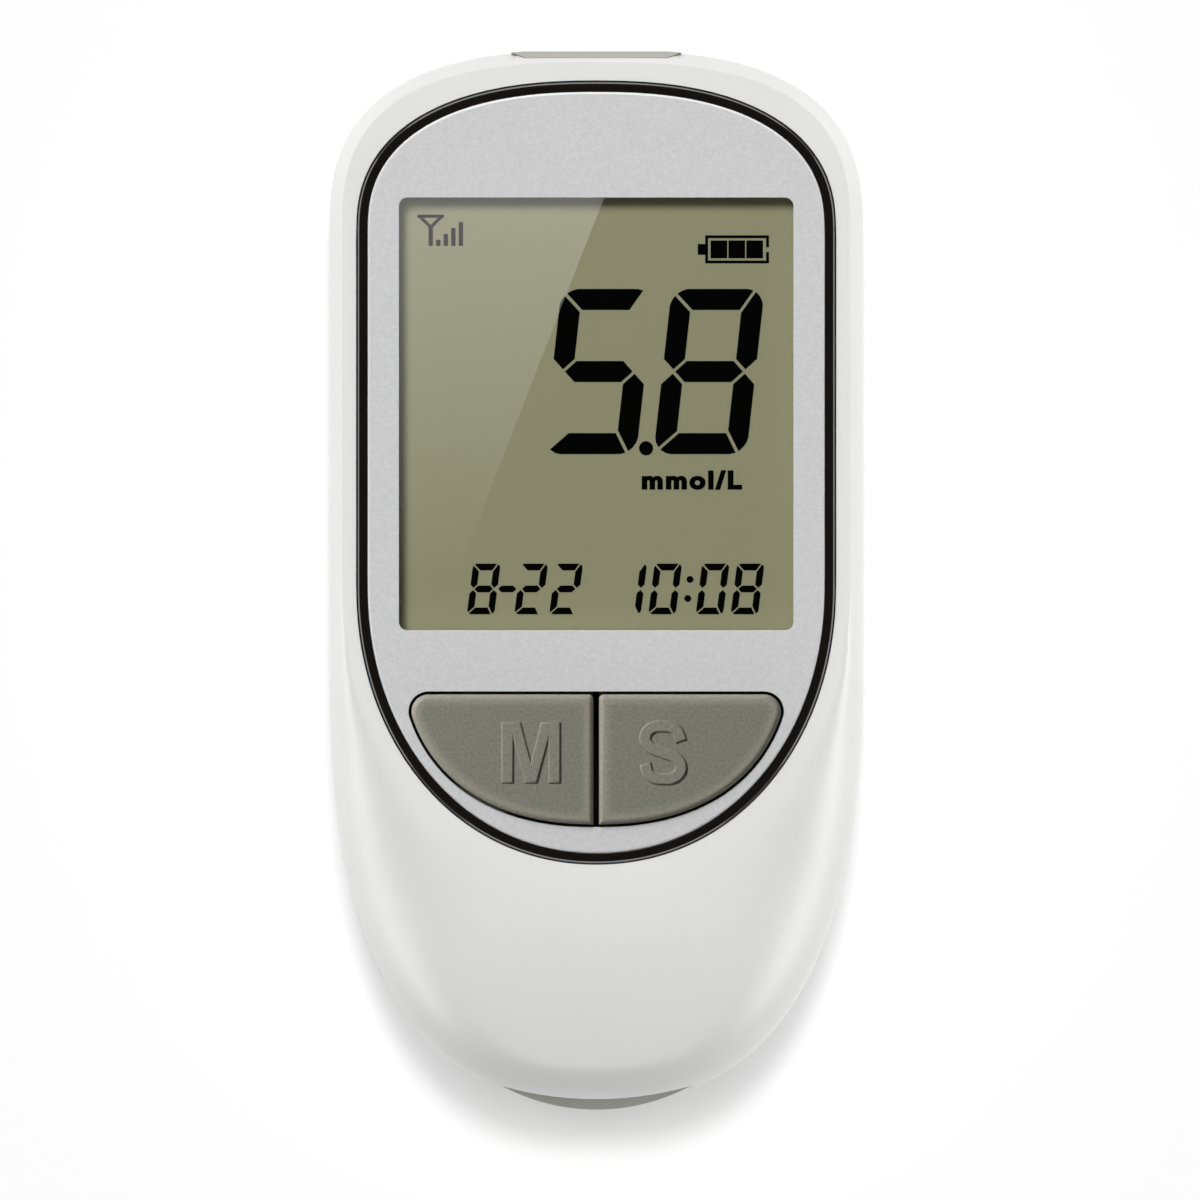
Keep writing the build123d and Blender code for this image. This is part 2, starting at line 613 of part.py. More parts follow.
def lip_turned(inset, low):
    """The round end that the door's lip is cut from, moved in by inset, from height low up."""
    radius = LIP_RADIUS - inset
    top = PARTING_HEIGHT - DOOR_GAP + inset
    roll = []
    for turn in ROLL_TURNS:
        run_in = (1 - math.sin(turn)) * BACK_ROLL_WIDTH
        roll.append((radius - run_in, 0, low + (1 - math.cos(turn)) * BACK_ROLL_HEIGHT))
    outline = Wire(
        [
            Edge.make_line((0, 0, low), roll[0]),
            Edge.make_spline(roll, tangents=[(1, 0, 0), (0, 0, 1)], scale=False),
            Edge.make_line(roll[-1], (radius, 0, top)),
            Edge.make_line((radius, 0, top), (0, 0, top)),
            Edge.make_line((0, 0, top), (0, 0, low)),
        ]
    )
    return Pos(0, TIP_END + LIP_RADIUS, 0) * revolve(Face(outline), Axis.Z)


def battery_door():
    plate = back_skin(REVEAL, 0.0, PARTING_HEIGHT) & box(
        (-DOOR_HALF_WIDTH, TIP_END - 1, DOOR_FACE), (DOOR_HALF_WIDTH, DOOR_TOP_END, DOOR_INNER)
    )
    cap = lip_turned(0.0, 0.0) - lip_turned(LIP_WALL, DOOR_THICKNESS)
    cap &= box(
        (-LIP_HALF_CHORD, TIP_END - 1, DOOR_FACE),
        (LIP_HALF_CHORD, BAY_LOW_END - BAY_WALL - DOOR_GAP, PARTING_HEIGHT - DOOR_GAP),
    )
    door = plate + cap
    for side in (-1, 1):
        x = sorted((side * (DOOR_HALF_WIDTH - 1), side * (DOOR_HALF_WIDTH + TONGUE_WIDTH)))
        door += box(
            (x[0], BAY_LOW_END, TONGUE_LOW), (x[1], DOOR_TOP_END, TONGUE_LOW + TONGUE_THICKNESS)
        )
    for rib in range(GRIP_RIBS):
        y = BAY_LOW_END + (rib + 1) * GRIP_PITCH
        door += box(
            (-GRIP_HALF_WIDTH, y, DOOR_FACE - GRIP_HEIGHT),
            (GRIP_HALF_WIDTH, y + GRIP_PITCH / 2, DOOR_FACE + GRIP_HEIGHT),
        )
    return door


def trim_ring():
    top = RIM_HEIGHT + RING_PROUD
    ring = RING.prism(SHELF_TOP, top, FIT)
    ring = chamfer(ring.faces().sort_by(Axis.Z)[-1].edges(), RING_CHAMFER)
    return ring - RING.prism(SHELF_TOP - 1, top + 1, RING_WIDTH)


def faceplate():
    plate = RING.prism(SHELF_TOP, FACEPLATE_TOP, RING_WIDTH + FIT)
    plate = chamfer(plate.faces().sort_by(Axis.Z)[-1].edges(), FACEPLATE_CHAMFER)
    plate -= window_block(SHELF_TOP - 1, FACEPLATE_TOP + 1, 0.0)
    plate -= window_block(SHELF_TOP - 1, SHELF_TOP + LENS_THICKNESS + FIT, LENS_OVERLAP + FIT)
    plate -= keys_opening(0.0, SHELF_TOP - 1, FACEPLATE_TOP + 1)
    return plate


# ---- display ----
def display_window():
    return window_block(SHELF_TOP, SHELF_TOP + LENS_THICKNESS, LENS_OVERLAP)


def window_gasket():
    frame = window_block(POLARISER_TOP, SHELF_TOP, LENS_OVERLAP)
    return frame - window_block(POLARISER_TOP - 1, SHELF_TOP + 1, GASKET_INSET)


def lcd_glass():
    rear = lcd_sheet(LCD_LOW, LCD_LOW + LCD_SHEET, 0)
    return rear + lcd_sheet(LCD_LOW + LCD_SHEET, LCD_TOP, LCD_LEDGE)


def lcd_polariser():
    return lcd_sheet(LCD_TOP, POLARISER_TOP, 0)


def lcd_reflector():
    return lcd_sheet(REFLECTOR_LOW, LCD_LOW, 0)


def lcd_holder():
    holder = lcd_sheet(BOARD_TOP, SHELF_LOW - HOLDER_UNDER_SHELF, LCD_LEDGE, LCD_PLAY + HOLDER_WALL)
    holder -= lcd_sheet(REFLECTOR_LOW, SHELF_TOP, LCD_LEDGE, LCD_PLAY)
    holder -= lcd_sheet(BOARD_TOP - 1, SHELF_TOP, 0, -HOLDER_SEAT)
    return holder - zebra_block(LCD_PLAY / 2)


def zebra_block(play):
    middle = WINDOW_LOW - LCD_MARGIN_LOW - LCD_LEDGE / 2
    half = ZEBRA_WIDTH / 2 + play
    return box(
        (-ZEBRA_LENGTH / 2 - play, middle - half, BOARD_TOP - play),
        (ZEBRA_LENGTH / 2 + play, middle + half, LCD_LOW + LCD_SHEET + play),
    )


def zebra_connector():
    return zebra_block(0.0)


# ---- keys ----
def key(side):
    """One key: cap, keeping rim and stem. side is -1 for the left key and 1 for the right."""
    keep = box((KEY_SPLIT / 2, KEYS_LOW - 5, 0), (HALF_WIDTH, KEYS_TOP + 5, KEY_TOP + 1))
    cap = keys_opening(KEY_GAP, FLANGE_LOW, KEY_TOP) & keep
    cap = fillet(cap.edges().filter_by(Axis.Z).group_by(Axis.X)[0], KEY_INNER_CORNER)
    cap = fillet(cap.faces().sort_by(Axis.Z)[-1].edges(), KEY_EDGE)
    rim = keys_opening(-KEY_FLANGE, FLANGE_LOW, FLANGE_TOP) & keep
    stem = cylinder(KEY_CENTRE_X, KEY_CENTRE_Y, STEM_LOW, FLANGE_LOW + FIT, KEY_STEM_RADIUS)
    whole = cap + rim + stem
    return whole if side > 0 else whole.mirror(Plane.YZ)


def keypad_mat():
    mat = keys_opening(-MAT_MARGIN, BOARD_TOP, BOARD_TOP + MAT_THICKNESS)
    for side in (-1, 1):
        opening = KEY_STEM_RADIUS + MAT_OPENING
        mat -= cylinder(side * KEY_CENTRE_X, KEY_CENTRE_Y, BOARD_TOP - 1, KEY_TOP, opening)
    return mat


def key_domes():
    """Two shallow snap domes, each a cap of a sphere."""
    sphere = (DOME_RADIUS**2 + DOME_HEIGHT**2) / (2 * DOME_HEIGHT)
    domes = []
    for side in (-1, 1):
        ball = Pos(side * KEY_CENTRE_X, KEY_CENTRE_Y, BOARD_TOP + DOME_HEIGHT - sphere) * Sphere(sphere)
        above = cylinder(side * KEY_CENTRE_X, KEY_CENTRE_Y, BOARD_TOP, KEY_TOP, 2 * DOME_RADIUS)
        domes.append(ball & above)
    return domes


# ---- board ----
def main_board():
    board = CASING.prism(BOARD_LOW, BOARD_TOP, WALL + BOARD_CLEARANCE)
    board -= box((-HALF_WIDTH, TIP_END, BOARD_LOW - 1), (HALF_WIDTH, BOARD_END, BOARD_TOP + 1))
    for x, y in HOUSING_POSTS:
        board -= cylinder(x, y, BOARD_LOW - 1, BOARD_TOP + 1, HOUSING_POST_RADIUS + 2 * HEAD_PLAY)
    for x, y in BOARD_BOSSES:
        board -= cylinder(x, y, BOARD_LOW - 1, BOARD_TOP + 1, BOARD_SCREW_RADIUS + SCREW_PLAY)
    return board


def under_board(size, place):
    """A block soldered to the board's underside, about the given place."""
    return Pos(*place, BOARD_LOW) * Box(*size, align=(Align.CENTER, Align.CENTER, Align.MAX))


def strip_connector():
    width, depth, height = CONNECTOR_SIZE
    block = box(
        (-width / 2, CONNECTOR_FACE - depth, BOARD_TOP), (width / 2, CONNECTOR_FACE, BOARD_TOP + height)
    )
    return block - strip_slot(CONNECTOR_FACE - depth + CONNECTOR_WALL, CONNECTOR_FACE + 1)


def strip_contacts():
    """Thin leaf contacts under the slot's ceiling."""
    top = SLOT_AXIS + STRIP_SLOT[1] / 2
    back = CONNECTOR_FACE - CONNECTOR_SIZE[1] + CONNECTOR_WALL
    leaves = []
    for leaf in range(CONTACT_COUNT):
        x = (leaf - (CONTACT_COUNT - 1) / 2) * CONTACT_PITCH
        leaves.append(
            box(
                (x - LEAF_WIDTH / 2, back, top - LEAF_THICKNESS),
                (x + LEAF_WIDTH / 2, CONNECTOR_FACE - LEAF_SETBACK, top),
            )
        )
    return leaves


def strip_port():
    """The insert that leads a test strip in: a flat face plate in the notch and a slotted body."""
    top = RIM_HEIGHT - PORT_TOP_BELOW_RIM
    plate = port_notch(NOTCH_LOW + FIT, top, FIT)
    plate &= box((-HALF_WIDTH, 0, 0), (HALF_WIDTH, PORT_FACE, KEY_TOP))
    plate &= CASING.prism(0, KEY_TOP, 0.0)
    insert = plate + port_body(CONNECTOR_FACE + PORT_TO_CONNECTOR, 0)
    return insert - strip_slot(CONNECTOR_FACE - 1, PORT_FACE + 1)


# ---- batteries and their contacts ----
def cell(side):
    """A cell along Y. The left one has its nub towards the strip port, the right one away from it."""
    body = CELL_LENGTH - CELL_NUB_HEIGHT
    can = fillet(Cylinder(CELL_DIAMETER / 2, body).edges(), CELL_EDGE)
    nub = Pos(0, 0, CELL_LENGTH / 2) * Cylinder(CELL_NUB_RADIUS, CELL_NUB_HEIGHT)
    upright = can + nub
    if side < 0:
        tip = BAY_TOP_END - CONTACT_THICKNESS
        turned = Rot(-90, 0, 0) * upright
        middle = tip - CELL_NUB_HEIGHT - body / 2
    else:
        tip = BAY_LOW_END + CONTACT_THICKNESS
        turned = Rot(90, 0, 0) * upright
        middle = tip + CELL_NUB_HEIGHT + body / 2
    return Pos(side * CELL_PITCH / 2, middle, CELL_AXIS) * turned


def contact_plate(low_x, high_x, y):
    return box(
        (low_x, y, CELL_AXIS - CONTACT_HEIGHT / 2),
        (high_x, y + CONTACT_THICKNESS, CELL_AXIS + CONTACT_HEIGHT / 2),
    )


def contact_tab(side, play):
    """The upright tab that joins a contact plate to the board, through the bay's roof."""
    x = side * CELL_PITCH / 2
    return box(
        (x - CONTACT_TAB / 2 - play, BAY_TOP_END - CONTACT_THICKNESS - play, CELL_AXIS),
        (x + CONTACT_TAB / 2 + play, BAY_TOP_END, BOARD_LOW),
    )


def coil(x, start, direction):
    """A coil spring from a contact plate at start to the cell's flat end, along Y."""
    height = SPRING_LENGTH - SPRING_WIRE
    path = Helix(pitch=height / SPRING_TURNS, height=height, radius=SPRING_RADIUS)
    wire = sweep(Plane(path @ 0, z_dir=path % 0) * Circle(SPRING_WIRE / 2), path=path)
    upright = Pos(0, 0, SPRING_WIRE / 2 - SPRING_SET) * wire
    return Pos(x, start, CELL_AXIS) * (Rot(-90 * direction, 0, 0) * upright)


def battery_bridge():
    """Joins the two cells in series at the bay's lower end, with the left cell's spring."""
    half = CELL_PITCH / 2 + CONTACT_WIDTH / 2
    plate = contact_plate(-half, half, BAY_LOW_END)
    return plate + coil(-CELL_PITCH / 2, BAY_LOW_END + CONTACT_THICKNESS, 1)


def upper_contact(side):
    x = side * CELL_PITCH / 2
    y = BAY_TOP_END - CONTACT_THICKNESS
    contact = contact_plate(x - CONTACT_WIDTH / 2, x + CONTACT_WIDTH / 2, y) + contact_tab(side, 0)
    return contact + coil(x, y, -1) if side > 0 else contact


# ---- screws ----
def screw(x, y, seat, head_radius, head_height, radius, length):
    """A screw driven upwards: its head is below seat. A cross is sunk in the head."""
    body = cylinder(x, y, seat - head_height, seat, head_radius)
    body = chamfer(body.edges().group_by(Axis.Z)[0], head_height * HEAD_ROUNDING)
    body += cylinder(x, y, seat - FIT, seat + length, radius)
    cross = 2 * head_radius * CROSS_REACH
    width = 2 * radius * CROSS_WIDTH
    for size in ((cross, width), (width, cross)):
        body -= Pos(x, y, seat - head_height) * Box(*size, 2 * head_height * CROSS_DEPTH)
    return body


def housing_screws():
    seat = PARTING_HEIGHT - HOUSING_POST_FLOOR
    sizes = (HOUSING_HEAD_RADIUS, HOUSING_HEAD_HEIGHT, HOUSING_SCREW_RADIUS, HOUSING_SCREW_LENGTH)
    return [screw(x, y, seat, *sizes) for x, y in HOUSING_POSTS]


def board_screws():
    sizes = (BOARD_HEAD_RADIUS, BOARD_HEAD_HEIGHT, BOARD_SCREW_RADIUS, BOARD_SCREW_LENGTH)
    return [screw(x, y, BOARD_LOW, *sizes) for x, y in BOARD_BOSSES]


def buzzer():
    return cylinder(*BUZZER_PLACE, BOARD_LOW - BUZZER_HEIGHT, BOARD_LOW, BUZZER_RADIUS)


NODES = {
    "front_shell": front_shell,
    "rear_cover": rear_cover,
    "battery_door": battery_door,
    "trim_ring": trim_ring,
    "faceplate": faceplate,
    "display_window": display_window,
    "window_gasket": window_gasket,
    "lcd_glass": lcd_glass,
    "lcd_polariser": lcd_polariser,
    "lcd_reflector": lcd_reflector,
    "lcd_holder": lcd_holder,
    "zebra_connector": zebra_connector,
    "key_m": lambda: key(-1),
    "key_s": lambda: key(1),
    "keypad_mat": keypad_mat,
    "key_domes": key_domes,
    "main_board": main_board,
    "processor": lambda: under_board(PROCESSOR_SIZE, PROCESSOR_PLACE),
    "memory_chip": lambda: under_board(MEMORY_SIZE, MEMORY_PLACE),
    "clock_crystal": lambda: under_board(CRYSTAL_SIZE, CRYSTAL_PLACE),
    "supply_capacitor": lambda: under_board(CAPACITOR_SIZE, CAPACITOR_PLACE),
    "radio_module": lambda: under_board(RADIO_SIZE, RADIO_PLACE),
    "antenna": lambda: under_board(ANTENNA_SIZE, ANTENNA_PLACE),
    "buzzer": buzzer,
    "strip_port": strip_port,
    "strip_connector": strip_connector,
    "strip_contacts": strip_contacts,
    "battery_1": lambda: cell(-1),
    "battery_2": lambda: cell(1),
    "battery_bridge": battery_bridge,
    "contact_plus": lambda: upper_contact(-1),
    "contact_minus": lambda: upper_contact(1),
    "housing_screws": housing_screws,
    "board_screws": board_screws,
}

os.makedirs("parts", exist_ok=True)
for name, make in NODES.items():
    made = make()
    piece = Compound(children=list(made)) if isinstance(made, list) else made
    export_step(piece, f"parts/{name}.step")
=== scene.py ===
# %% [markdown]
# # Dressing a blood glucose meter
#
# The meter comes as a packed construction: thirty-four pieces at their real size, which already
# ride on four bodies, a housing, two keys and a battery door. Blender adds what a construction
# leaves out: smooth shading, rounded edges, finishes, the marks on the display and a small
# studio. Every length is in metres, in the construction's own frame: the meter lies on
# its flat back, +Z comes out of the display and +Y points to the test strip port.

# %% Load the frame
import json
import math

import bmesh
import bpy
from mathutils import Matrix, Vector

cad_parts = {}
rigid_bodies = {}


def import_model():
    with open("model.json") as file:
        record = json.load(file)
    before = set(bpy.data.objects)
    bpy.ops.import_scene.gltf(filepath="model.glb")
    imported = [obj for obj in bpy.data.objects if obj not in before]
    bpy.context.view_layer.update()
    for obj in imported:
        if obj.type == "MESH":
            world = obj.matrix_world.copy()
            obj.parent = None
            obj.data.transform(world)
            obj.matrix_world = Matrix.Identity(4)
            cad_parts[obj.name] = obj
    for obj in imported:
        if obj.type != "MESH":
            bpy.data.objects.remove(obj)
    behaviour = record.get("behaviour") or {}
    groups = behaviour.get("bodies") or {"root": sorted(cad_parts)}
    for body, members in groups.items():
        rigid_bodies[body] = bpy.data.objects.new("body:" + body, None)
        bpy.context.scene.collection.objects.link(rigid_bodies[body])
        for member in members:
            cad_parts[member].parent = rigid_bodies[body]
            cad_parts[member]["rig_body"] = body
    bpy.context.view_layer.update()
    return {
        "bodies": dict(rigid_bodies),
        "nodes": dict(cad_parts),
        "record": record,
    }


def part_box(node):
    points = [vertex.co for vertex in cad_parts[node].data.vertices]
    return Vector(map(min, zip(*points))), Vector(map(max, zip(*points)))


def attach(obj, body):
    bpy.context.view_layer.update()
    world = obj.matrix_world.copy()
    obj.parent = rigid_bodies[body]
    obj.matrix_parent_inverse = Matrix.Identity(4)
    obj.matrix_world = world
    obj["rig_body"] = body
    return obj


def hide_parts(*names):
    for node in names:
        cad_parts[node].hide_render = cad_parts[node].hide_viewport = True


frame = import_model()
nodes = frame["nodes"]
MM = 0.001

# %% [markdown]
# ## One helper for nodes, one for colours
#
# A finish is a small tree of nodes. Written out by hand, each node takes four or five lines, so
# one function adds a node, sets its properties and fills its sockets. A value that is a socket
# becomes a link, and a node stands for its first open output. Colours are written as the hex
# values that a paint program shows, and one function turns them into the linear light that a
# shader needs.

# %% Helpers for materials
def fill(tree, node, **inputs):
    """Fills a node's sockets, by name, with values or with links from sockets or nodes."""
    for name, value in inputs.items():
        socket = next(s for s in node.inputs if name in (s.identifier, s.name.replace(" ", "_")))
        if isinstance(value, bpy.types.Node):
            value = next(s for s in value.outputs if s.enabled)
        if isinstance(value, bpy.types.NodeSocket):
            tree.links.new(value, socket)
        else:
            socket.default_value = value


def add(tree, kind, settings=None, **inputs):
    """One node. settings are its properties."""
    node = tree.nodes.new(kind)
    for name, value in (settings or {}).items():
        setattr(node, name, value)
    fill(tree, node, **inputs)
    return node


def linear(hex_colour):
    """An sRGB hex colour as linear light, with full alpha."""
    channels = [int(hex_colour[i : i + 2], 16) / 255 for i in (1, 3, 5)]
    return (*(c / 12.92 if c <= 0.04045 else ((c + 0.055) / 1.055) ** 2.4 for c in channels), 1.0)


def empty_material(name):
    """A material without nodes, and its tree."""
    material = bpy.data.materials.new(name)
    material.use_nodes = True
    material.node_tree.nodes.clear()
    return material, material.node_tree


def new_material(name, **constants):
    """A material with one Principled shader. constants are set on the shader's own sockets."""
    material, tree = empty_material(name)
    shader = add(tree, "ShaderNodeBsdfPrincipled", **constants)
    add(tree, "ShaderNodeOutputMaterial", Surface=shader)
    return material, tree, shader


def place(tree):
    """Where a point is on the meter: every finished piece has its object at the origin."""
    return add(tree, "ShaderNodeTexCoord").outputs["Object"]


def per_metre(spacing_mm):
    """The texture scale at which a pattern repeats about every spacing_mm."""
    return 1.0 / (spacing_mm * MM)


def tones(tree, dark, light, spacing_mm, detail=2.0):
    """A colour that wanders between two near tones, as on moulded and painted surfaces."""
    noise = add(tree, "ShaderNodeTexNoise", Vector=place(tree), Scale=per_metre(spacing_mm), Detail=detail)
    return add(
        tree, "ShaderNodeMix", {"data_type": "RGBA"}, Factor_Float=noise, A_Color=linear(dark),
        B_Color=linear(light),
    )


def grain(tree, shader, spacing_mm, depth_mm, roughness):
    """A fine moulded or sprayed grain: bumps of depth_mm, and roughness from dull to shiny."""
    noise = add(tree, "ShaderNodeTexNoise", Vector=place(tree), Scale=per_metre(spacing_mm), Detail=3.0)
    fill(
        tree, shader, Normal=add(tree, "ShaderNodeBump", Height=noise, Distance=depth_mm * MM, Strength=1.0),
        Roughness=add(tree, "ShaderNodeMapRange", Value=noise, To_Min=roughness[0], To_Max=roughness[1]),
    )


def finish_of(name, two_tones, tone_mm, grain_mm, depth_mm, roughness, detail=2.0, **constants):
    """A finish from two near tones and a grain."""
    material, tree, shader = new_material(name, **constants)
    fill(tree, shader, Base_Color=tones(tree, *two_tones, tone_mm, detail))
    grain(tree, shader, grain_mm, depth_mm, roughness)
    return material

# %% [markdown]
# ## White ABS: the casing
#
# The casing is injection-moulded ABS from a mould with a fine spark-eroded skin. That gives a
# white that is soft rather than shiny, with wide highlights. ABS has an IOR near 1.53. The
# real grain is about 0.05 mm, too fine to show here, so it is drawn at 0.3 mm and very shallow.
# A little subsurface light keeps the white from looking like plaster.

# %% Casing plastic
white_abs = finish_of(
    "satin_moulded_abs", ("#e0e0df", "#e5e5e4"), tone_mm=14, grain_mm=0.3, depth_mm=0.002,
    roughness=(0.3, 0.38), IOR=1.53, Subsurface_Weight=0.06, Subsurface_Radius=(1.0, 0.95, 0.9),
    Subsurface_Scale=0.6 * MM,
)

# %% [markdown]
# ## Warm grey ABS: the strip port and the door
#
# The insert that leads the test strip in and the battery door are moulded from one pale warm
# grey. It is the same plastic as the casing with a rougher mould skin, so it looks flatter.

# %% Grey plastic
grey_abs = finish_of(
    "fine_matt_moulded_abs", ("#b0afa8", "#bab9b2"), tone_mm=9, grain_mm=0.3, depth_mm=0.004,
    roughness=(0.42, 0.52), IOR=1.53,
)

# %% [markdown]
# ## Silver paint: the faceplate
#
# The faceplate is sprayed with a satin silver paint: small aluminium flakes in a clear binder.
# The eye sees an even pale grey with a faint sparkle, since each flake lies at its own tilt.
# Cells of a Voronoi texture stand for the flakes. Real ones are about 0.02 mm across, and are
# drawn here at 0.22 mm so that some sparkle is left at the distance of a product picture.

# %% Faceplate paint
silver_paint, tree, shader = new_material("satin_silver_paint", IOR=1.5, Metallic=0.12)
flakes = add(tree, "ShaderNodeTexVoronoi", Vector=place(tree), Scale=per_metre(0.22))
tilt = add(tree, "ShaderNodeSeparateColor", Color=flakes.outputs["Color"]).outputs
tone = add(
    tree, "ShaderNodeMix", {"data_type": "RGBA"}, Factor_Float=tilt["Red"],
    A_Color=linear("#eeeeef"), B_Color=linear("#f8f8f9"),
)
fill(
    tree, shader, Base_Color=tone,
    Roughness=add(tree, "ShaderNodeMapRange", Value=tilt["Green"], To_Min=0.42, To_Max=0.56),
    Normal=add(tree, "ShaderNodeBump", Height=tilt["Blue"], Distance=0.002 * MM, Strength=0.5),
)

# %% [markdown]
# The plate's edges are cut after spraying, with a hard bright tool. The cut is a narrow bare
# slope, paler and shinier than the paint, and shows as a thin white line round the plate and
# its openings.

# %% Cut edge
cut_edge = finish_of(
    "bright_cut_edge", ("#f2f2f3", "#fafafa"), tone_mm=2, grain_mm=0.3, depth_mm=0.001,
    roughness=(0.28, 0.36), IOR=1.5,
)

# %% [markdown]
# ## Gloss black: the trim ring
#
# The ring is polished black polycarbonate. What makes it read as gloss is not its colour but
# the sharp reflections on its bevel, so it is smooth, with an IOR of 1.58 and hardly any bump.

# %% Ring plastic
black_gloss = finish_of(
    "polished_black_polycarbonate", ("#181614", "#211e1b"), tone_mm=4, grain_mm=1.5, depth_mm=0.001,
    roughness=(0.1, 0.16), IOR=1.58,
)

# %% [markdown]
# ## Clear acrylic and display glass
#
# The window is clear acrylic over the display's glass. Refraction through flat sheets costs time
# and only blurs the digits, so a surface is a transparent shader with a polished one over it,
# mixed by Fresnel: clear from above, a mirror at a glancing angle. Lamps shine through it, which
# keeps the display lit. Light isn't bent on its way in, so on its way out the sheet must not
# mirror it, or a slanting lamp would be lost: only the outer side has gloss.

# %% Clear sheets
def clear_sheet(name, tint, ior, roughness):
    """A flat clear sheet: it lets light through unbent, and reflects as its IOR says."""
    material, tree = empty_material(name)
    through = add(tree, "ShaderNodeBsdfTransparent", Color=linear(tint))
    gloss = add(tree, "ShaderNodeBsdfGlossy", Color=linear("#ffffff"), Roughness=roughness)
    share = add(
        tree, "ShaderNodeMix", Factor_Float=add(tree, "ShaderNodeNewGeometry").outputs["Backfacing"],
        A_Float=add(tree, "ShaderNodeFresnel", IOR=ior), B_Float=0.0,
    )
    mix = add(tree, "ShaderNodeMixShader", Fac=share, Shader=through, Shader_001=gloss)
    add(tree, "ShaderNodeOutputMaterial", Surface=mix)
    return material


clear_acrylic = clear_sheet("clear_acrylic", "#fcfdfc", ior=1.49, roughness=0.0)
display_glass = clear_sheet("display_glass", "#eef2ec", ior=1.52, roughness=0.0)

# %% [markdown]
# ## The display's film and its dark segments
#
# A reflective liquid crystal display is a polariser film, greenish grey, over a reflector with
# a faint grain. A segment that is switched on turns nearly black. The film is slightly matt,
# which spreads the lamps into a soft veil.

# %% Display film and segments
display_film = finish_of(
    "polariser_film", ("#b0ac8a", "#b6b290"), tone_mm=0.5, grain_mm=0.4, depth_mm=0.001,
    roughness=(0.45, 0.55), detail=4.0, IOR=1.5,
)
display_black = finish_of(
    "switched_on_segment", ("#020202", "#060605"), tone_mm=1, grain_mm=0.4, depth_mm=0.0005,
    roughness=(0.5, 0.6), IOR=1.5, Specular_IOR_Level=0.0,
)

# %% [markdown]
# ## Silicone: the keys
#
# The keys are one soft moulding each, of a translucent grey silicone with a fine matt skin.
# Light enters it and comes out again a little way off, so thin rounded edges look paler and
# warmer than the thick middle. Subsurface light softens it and a grain of 0.25 mm dulls it. The
# paler rim is painted light: a paler, warmer colour laid on by an attribute that the keys get
# further down, in place of the light that comes through the thin edge.

# %% Key silicone
key_silicone, tree, shader = new_material(
    "translucent_matt_silicone", IOR=1.41, Subsurface_Weight=0.1, Subsurface_Radius=(1.0, 0.9, 0.7),
    Subsurface_Scale=0.4 * MM,
)
# The rim's paleness is painted light: A is the paler rim colour, B the middle's.
from_rim = add(tree, "ShaderNodeAttribute", {"attribute_name": "from_rim"}).outputs["Fac"]
tone = add(
    tree, "ShaderNodeMix", {"data_type": "RGBA"}, Factor_Float=from_rim,
    A_Color=tones(tree, "#87847a", "#b3b0a0", spacing_mm=0.3, detail=3.0),
    B_Color=tones(tree, "#706f65", "#a09f92", spacing_mm=0.3, detail=3.0),
)
fill(tree, shader, Base_Color=tone)
grain(tree, shader, spacing_mm=0.25, depth_mm=0.01, roughness=(0.5, 0.62))

# %% [markdown]
# ## Finishes of what is held inside
#
# Behind the door and under the casing are a green board, black moulded chips, tinned cans,
# fired ceramic, plated contacts, foam and two cells in plain coloured sleeves. Each differs in
# base colour, metal and roughness, so each is one row of a table.

# %% Inner finishes
# slot: name, two tones, grain's spacing and depth in mm, roughness, the shader's constant
INNER = {
    "mat_black": ("carbon_filled_silicone", ("#131313", "#1d1d1d"), 0.5, 0.004, (0.6, 0.7), {"IOR": 1.41}),
    "foam_black": ("closed_cell_foam", ("#141414", "#262626"), 0.5, 0.05, (0.85, 0.95), {"IOR": 1.4}),
    "frame_grey": ("plain_moulded_plastic", ("#d2d2cd", "#dcdcd7"), 3.0, 0.003, (0.45, 0.55), {"IOR": 1.5}),
    "zebra_pink": ("layered_silicone", ("#b98d88", "#d0a49e"), 0.3, 0.004, (0.5, 0.6), {"IOR": 1.41}),
    "board_green": ("green_solder_mask", ("#18513a", "#1f6145"), 1.2, 0.004, (0.25, 0.35), {"IOR": 1.52}),
    "chip_black": ("moulded_epoxy", ("#1e1e20", "#29292b"), 0.4, 0.006, (0.55, 0.68), {"IOR": 1.55}),
    "can_steel": ("tinned_can", ("#b3b4b2", "#c3c4c2"), 0.8, 0.002, (0.24, 0.34), {"Metallic": 1.0}),
    "part_ceramic": ("fired_ceramic", ("#bd9c6c", "#ceae80"), 0.6, 0.004, (0.5, 0.6), {"IOR": 1.6}),
    "buzzer_black": ("plain_black_moulding", ("#1a1a1c", "#242426"), 1.0, 0.003, (0.45, 0.55), {"IOR": 1.53}),
    "contact_gold": ("gold_plated_strip", ("#c8a254", "#d8b76c"), 0.5, 0.001, (0.2, 0.3), {"Metallic": 1.0}),
    "contact_nickel": (
        "nickel_plated_spring_steel", ("#bdbdb8", "#cdcdc9"), 0.5, 0.001, (0.18, 0.28), {"Metallic": 1.0}
    ),
    "cell_sleeve": ("plain_coloured_sleeve", ("#345a85", "#3f6792"), 5.0, 0.002, (0.28, 0.36), {"IOR": 1.5}),
    "screw_steel": ("zinc_plated_steel", ("#8d8e92", "#a3a4a8"), 0.4, 0.002, (0.28, 0.4), {"Metallic": 1.0}),
}
FINISHES = {
    "shell_white": white_abs, "port_grey": grey_abs, "ring_black": black_gloss,
    "faceplate_silver": silver_paint, "window_clear": clear_acrylic, "lcd_glass": display_glass,
    "lcd_film": display_film, "key_silicone": key_silicone,
}
for slot, (name, two_tones, spacing_mm, depth_mm, roughness, constants) in INNER.items():
    FINISHES[slot] = finish_of(name, two_tones, spacing_mm, spacing_mm, depth_mm, roughness, **constants)

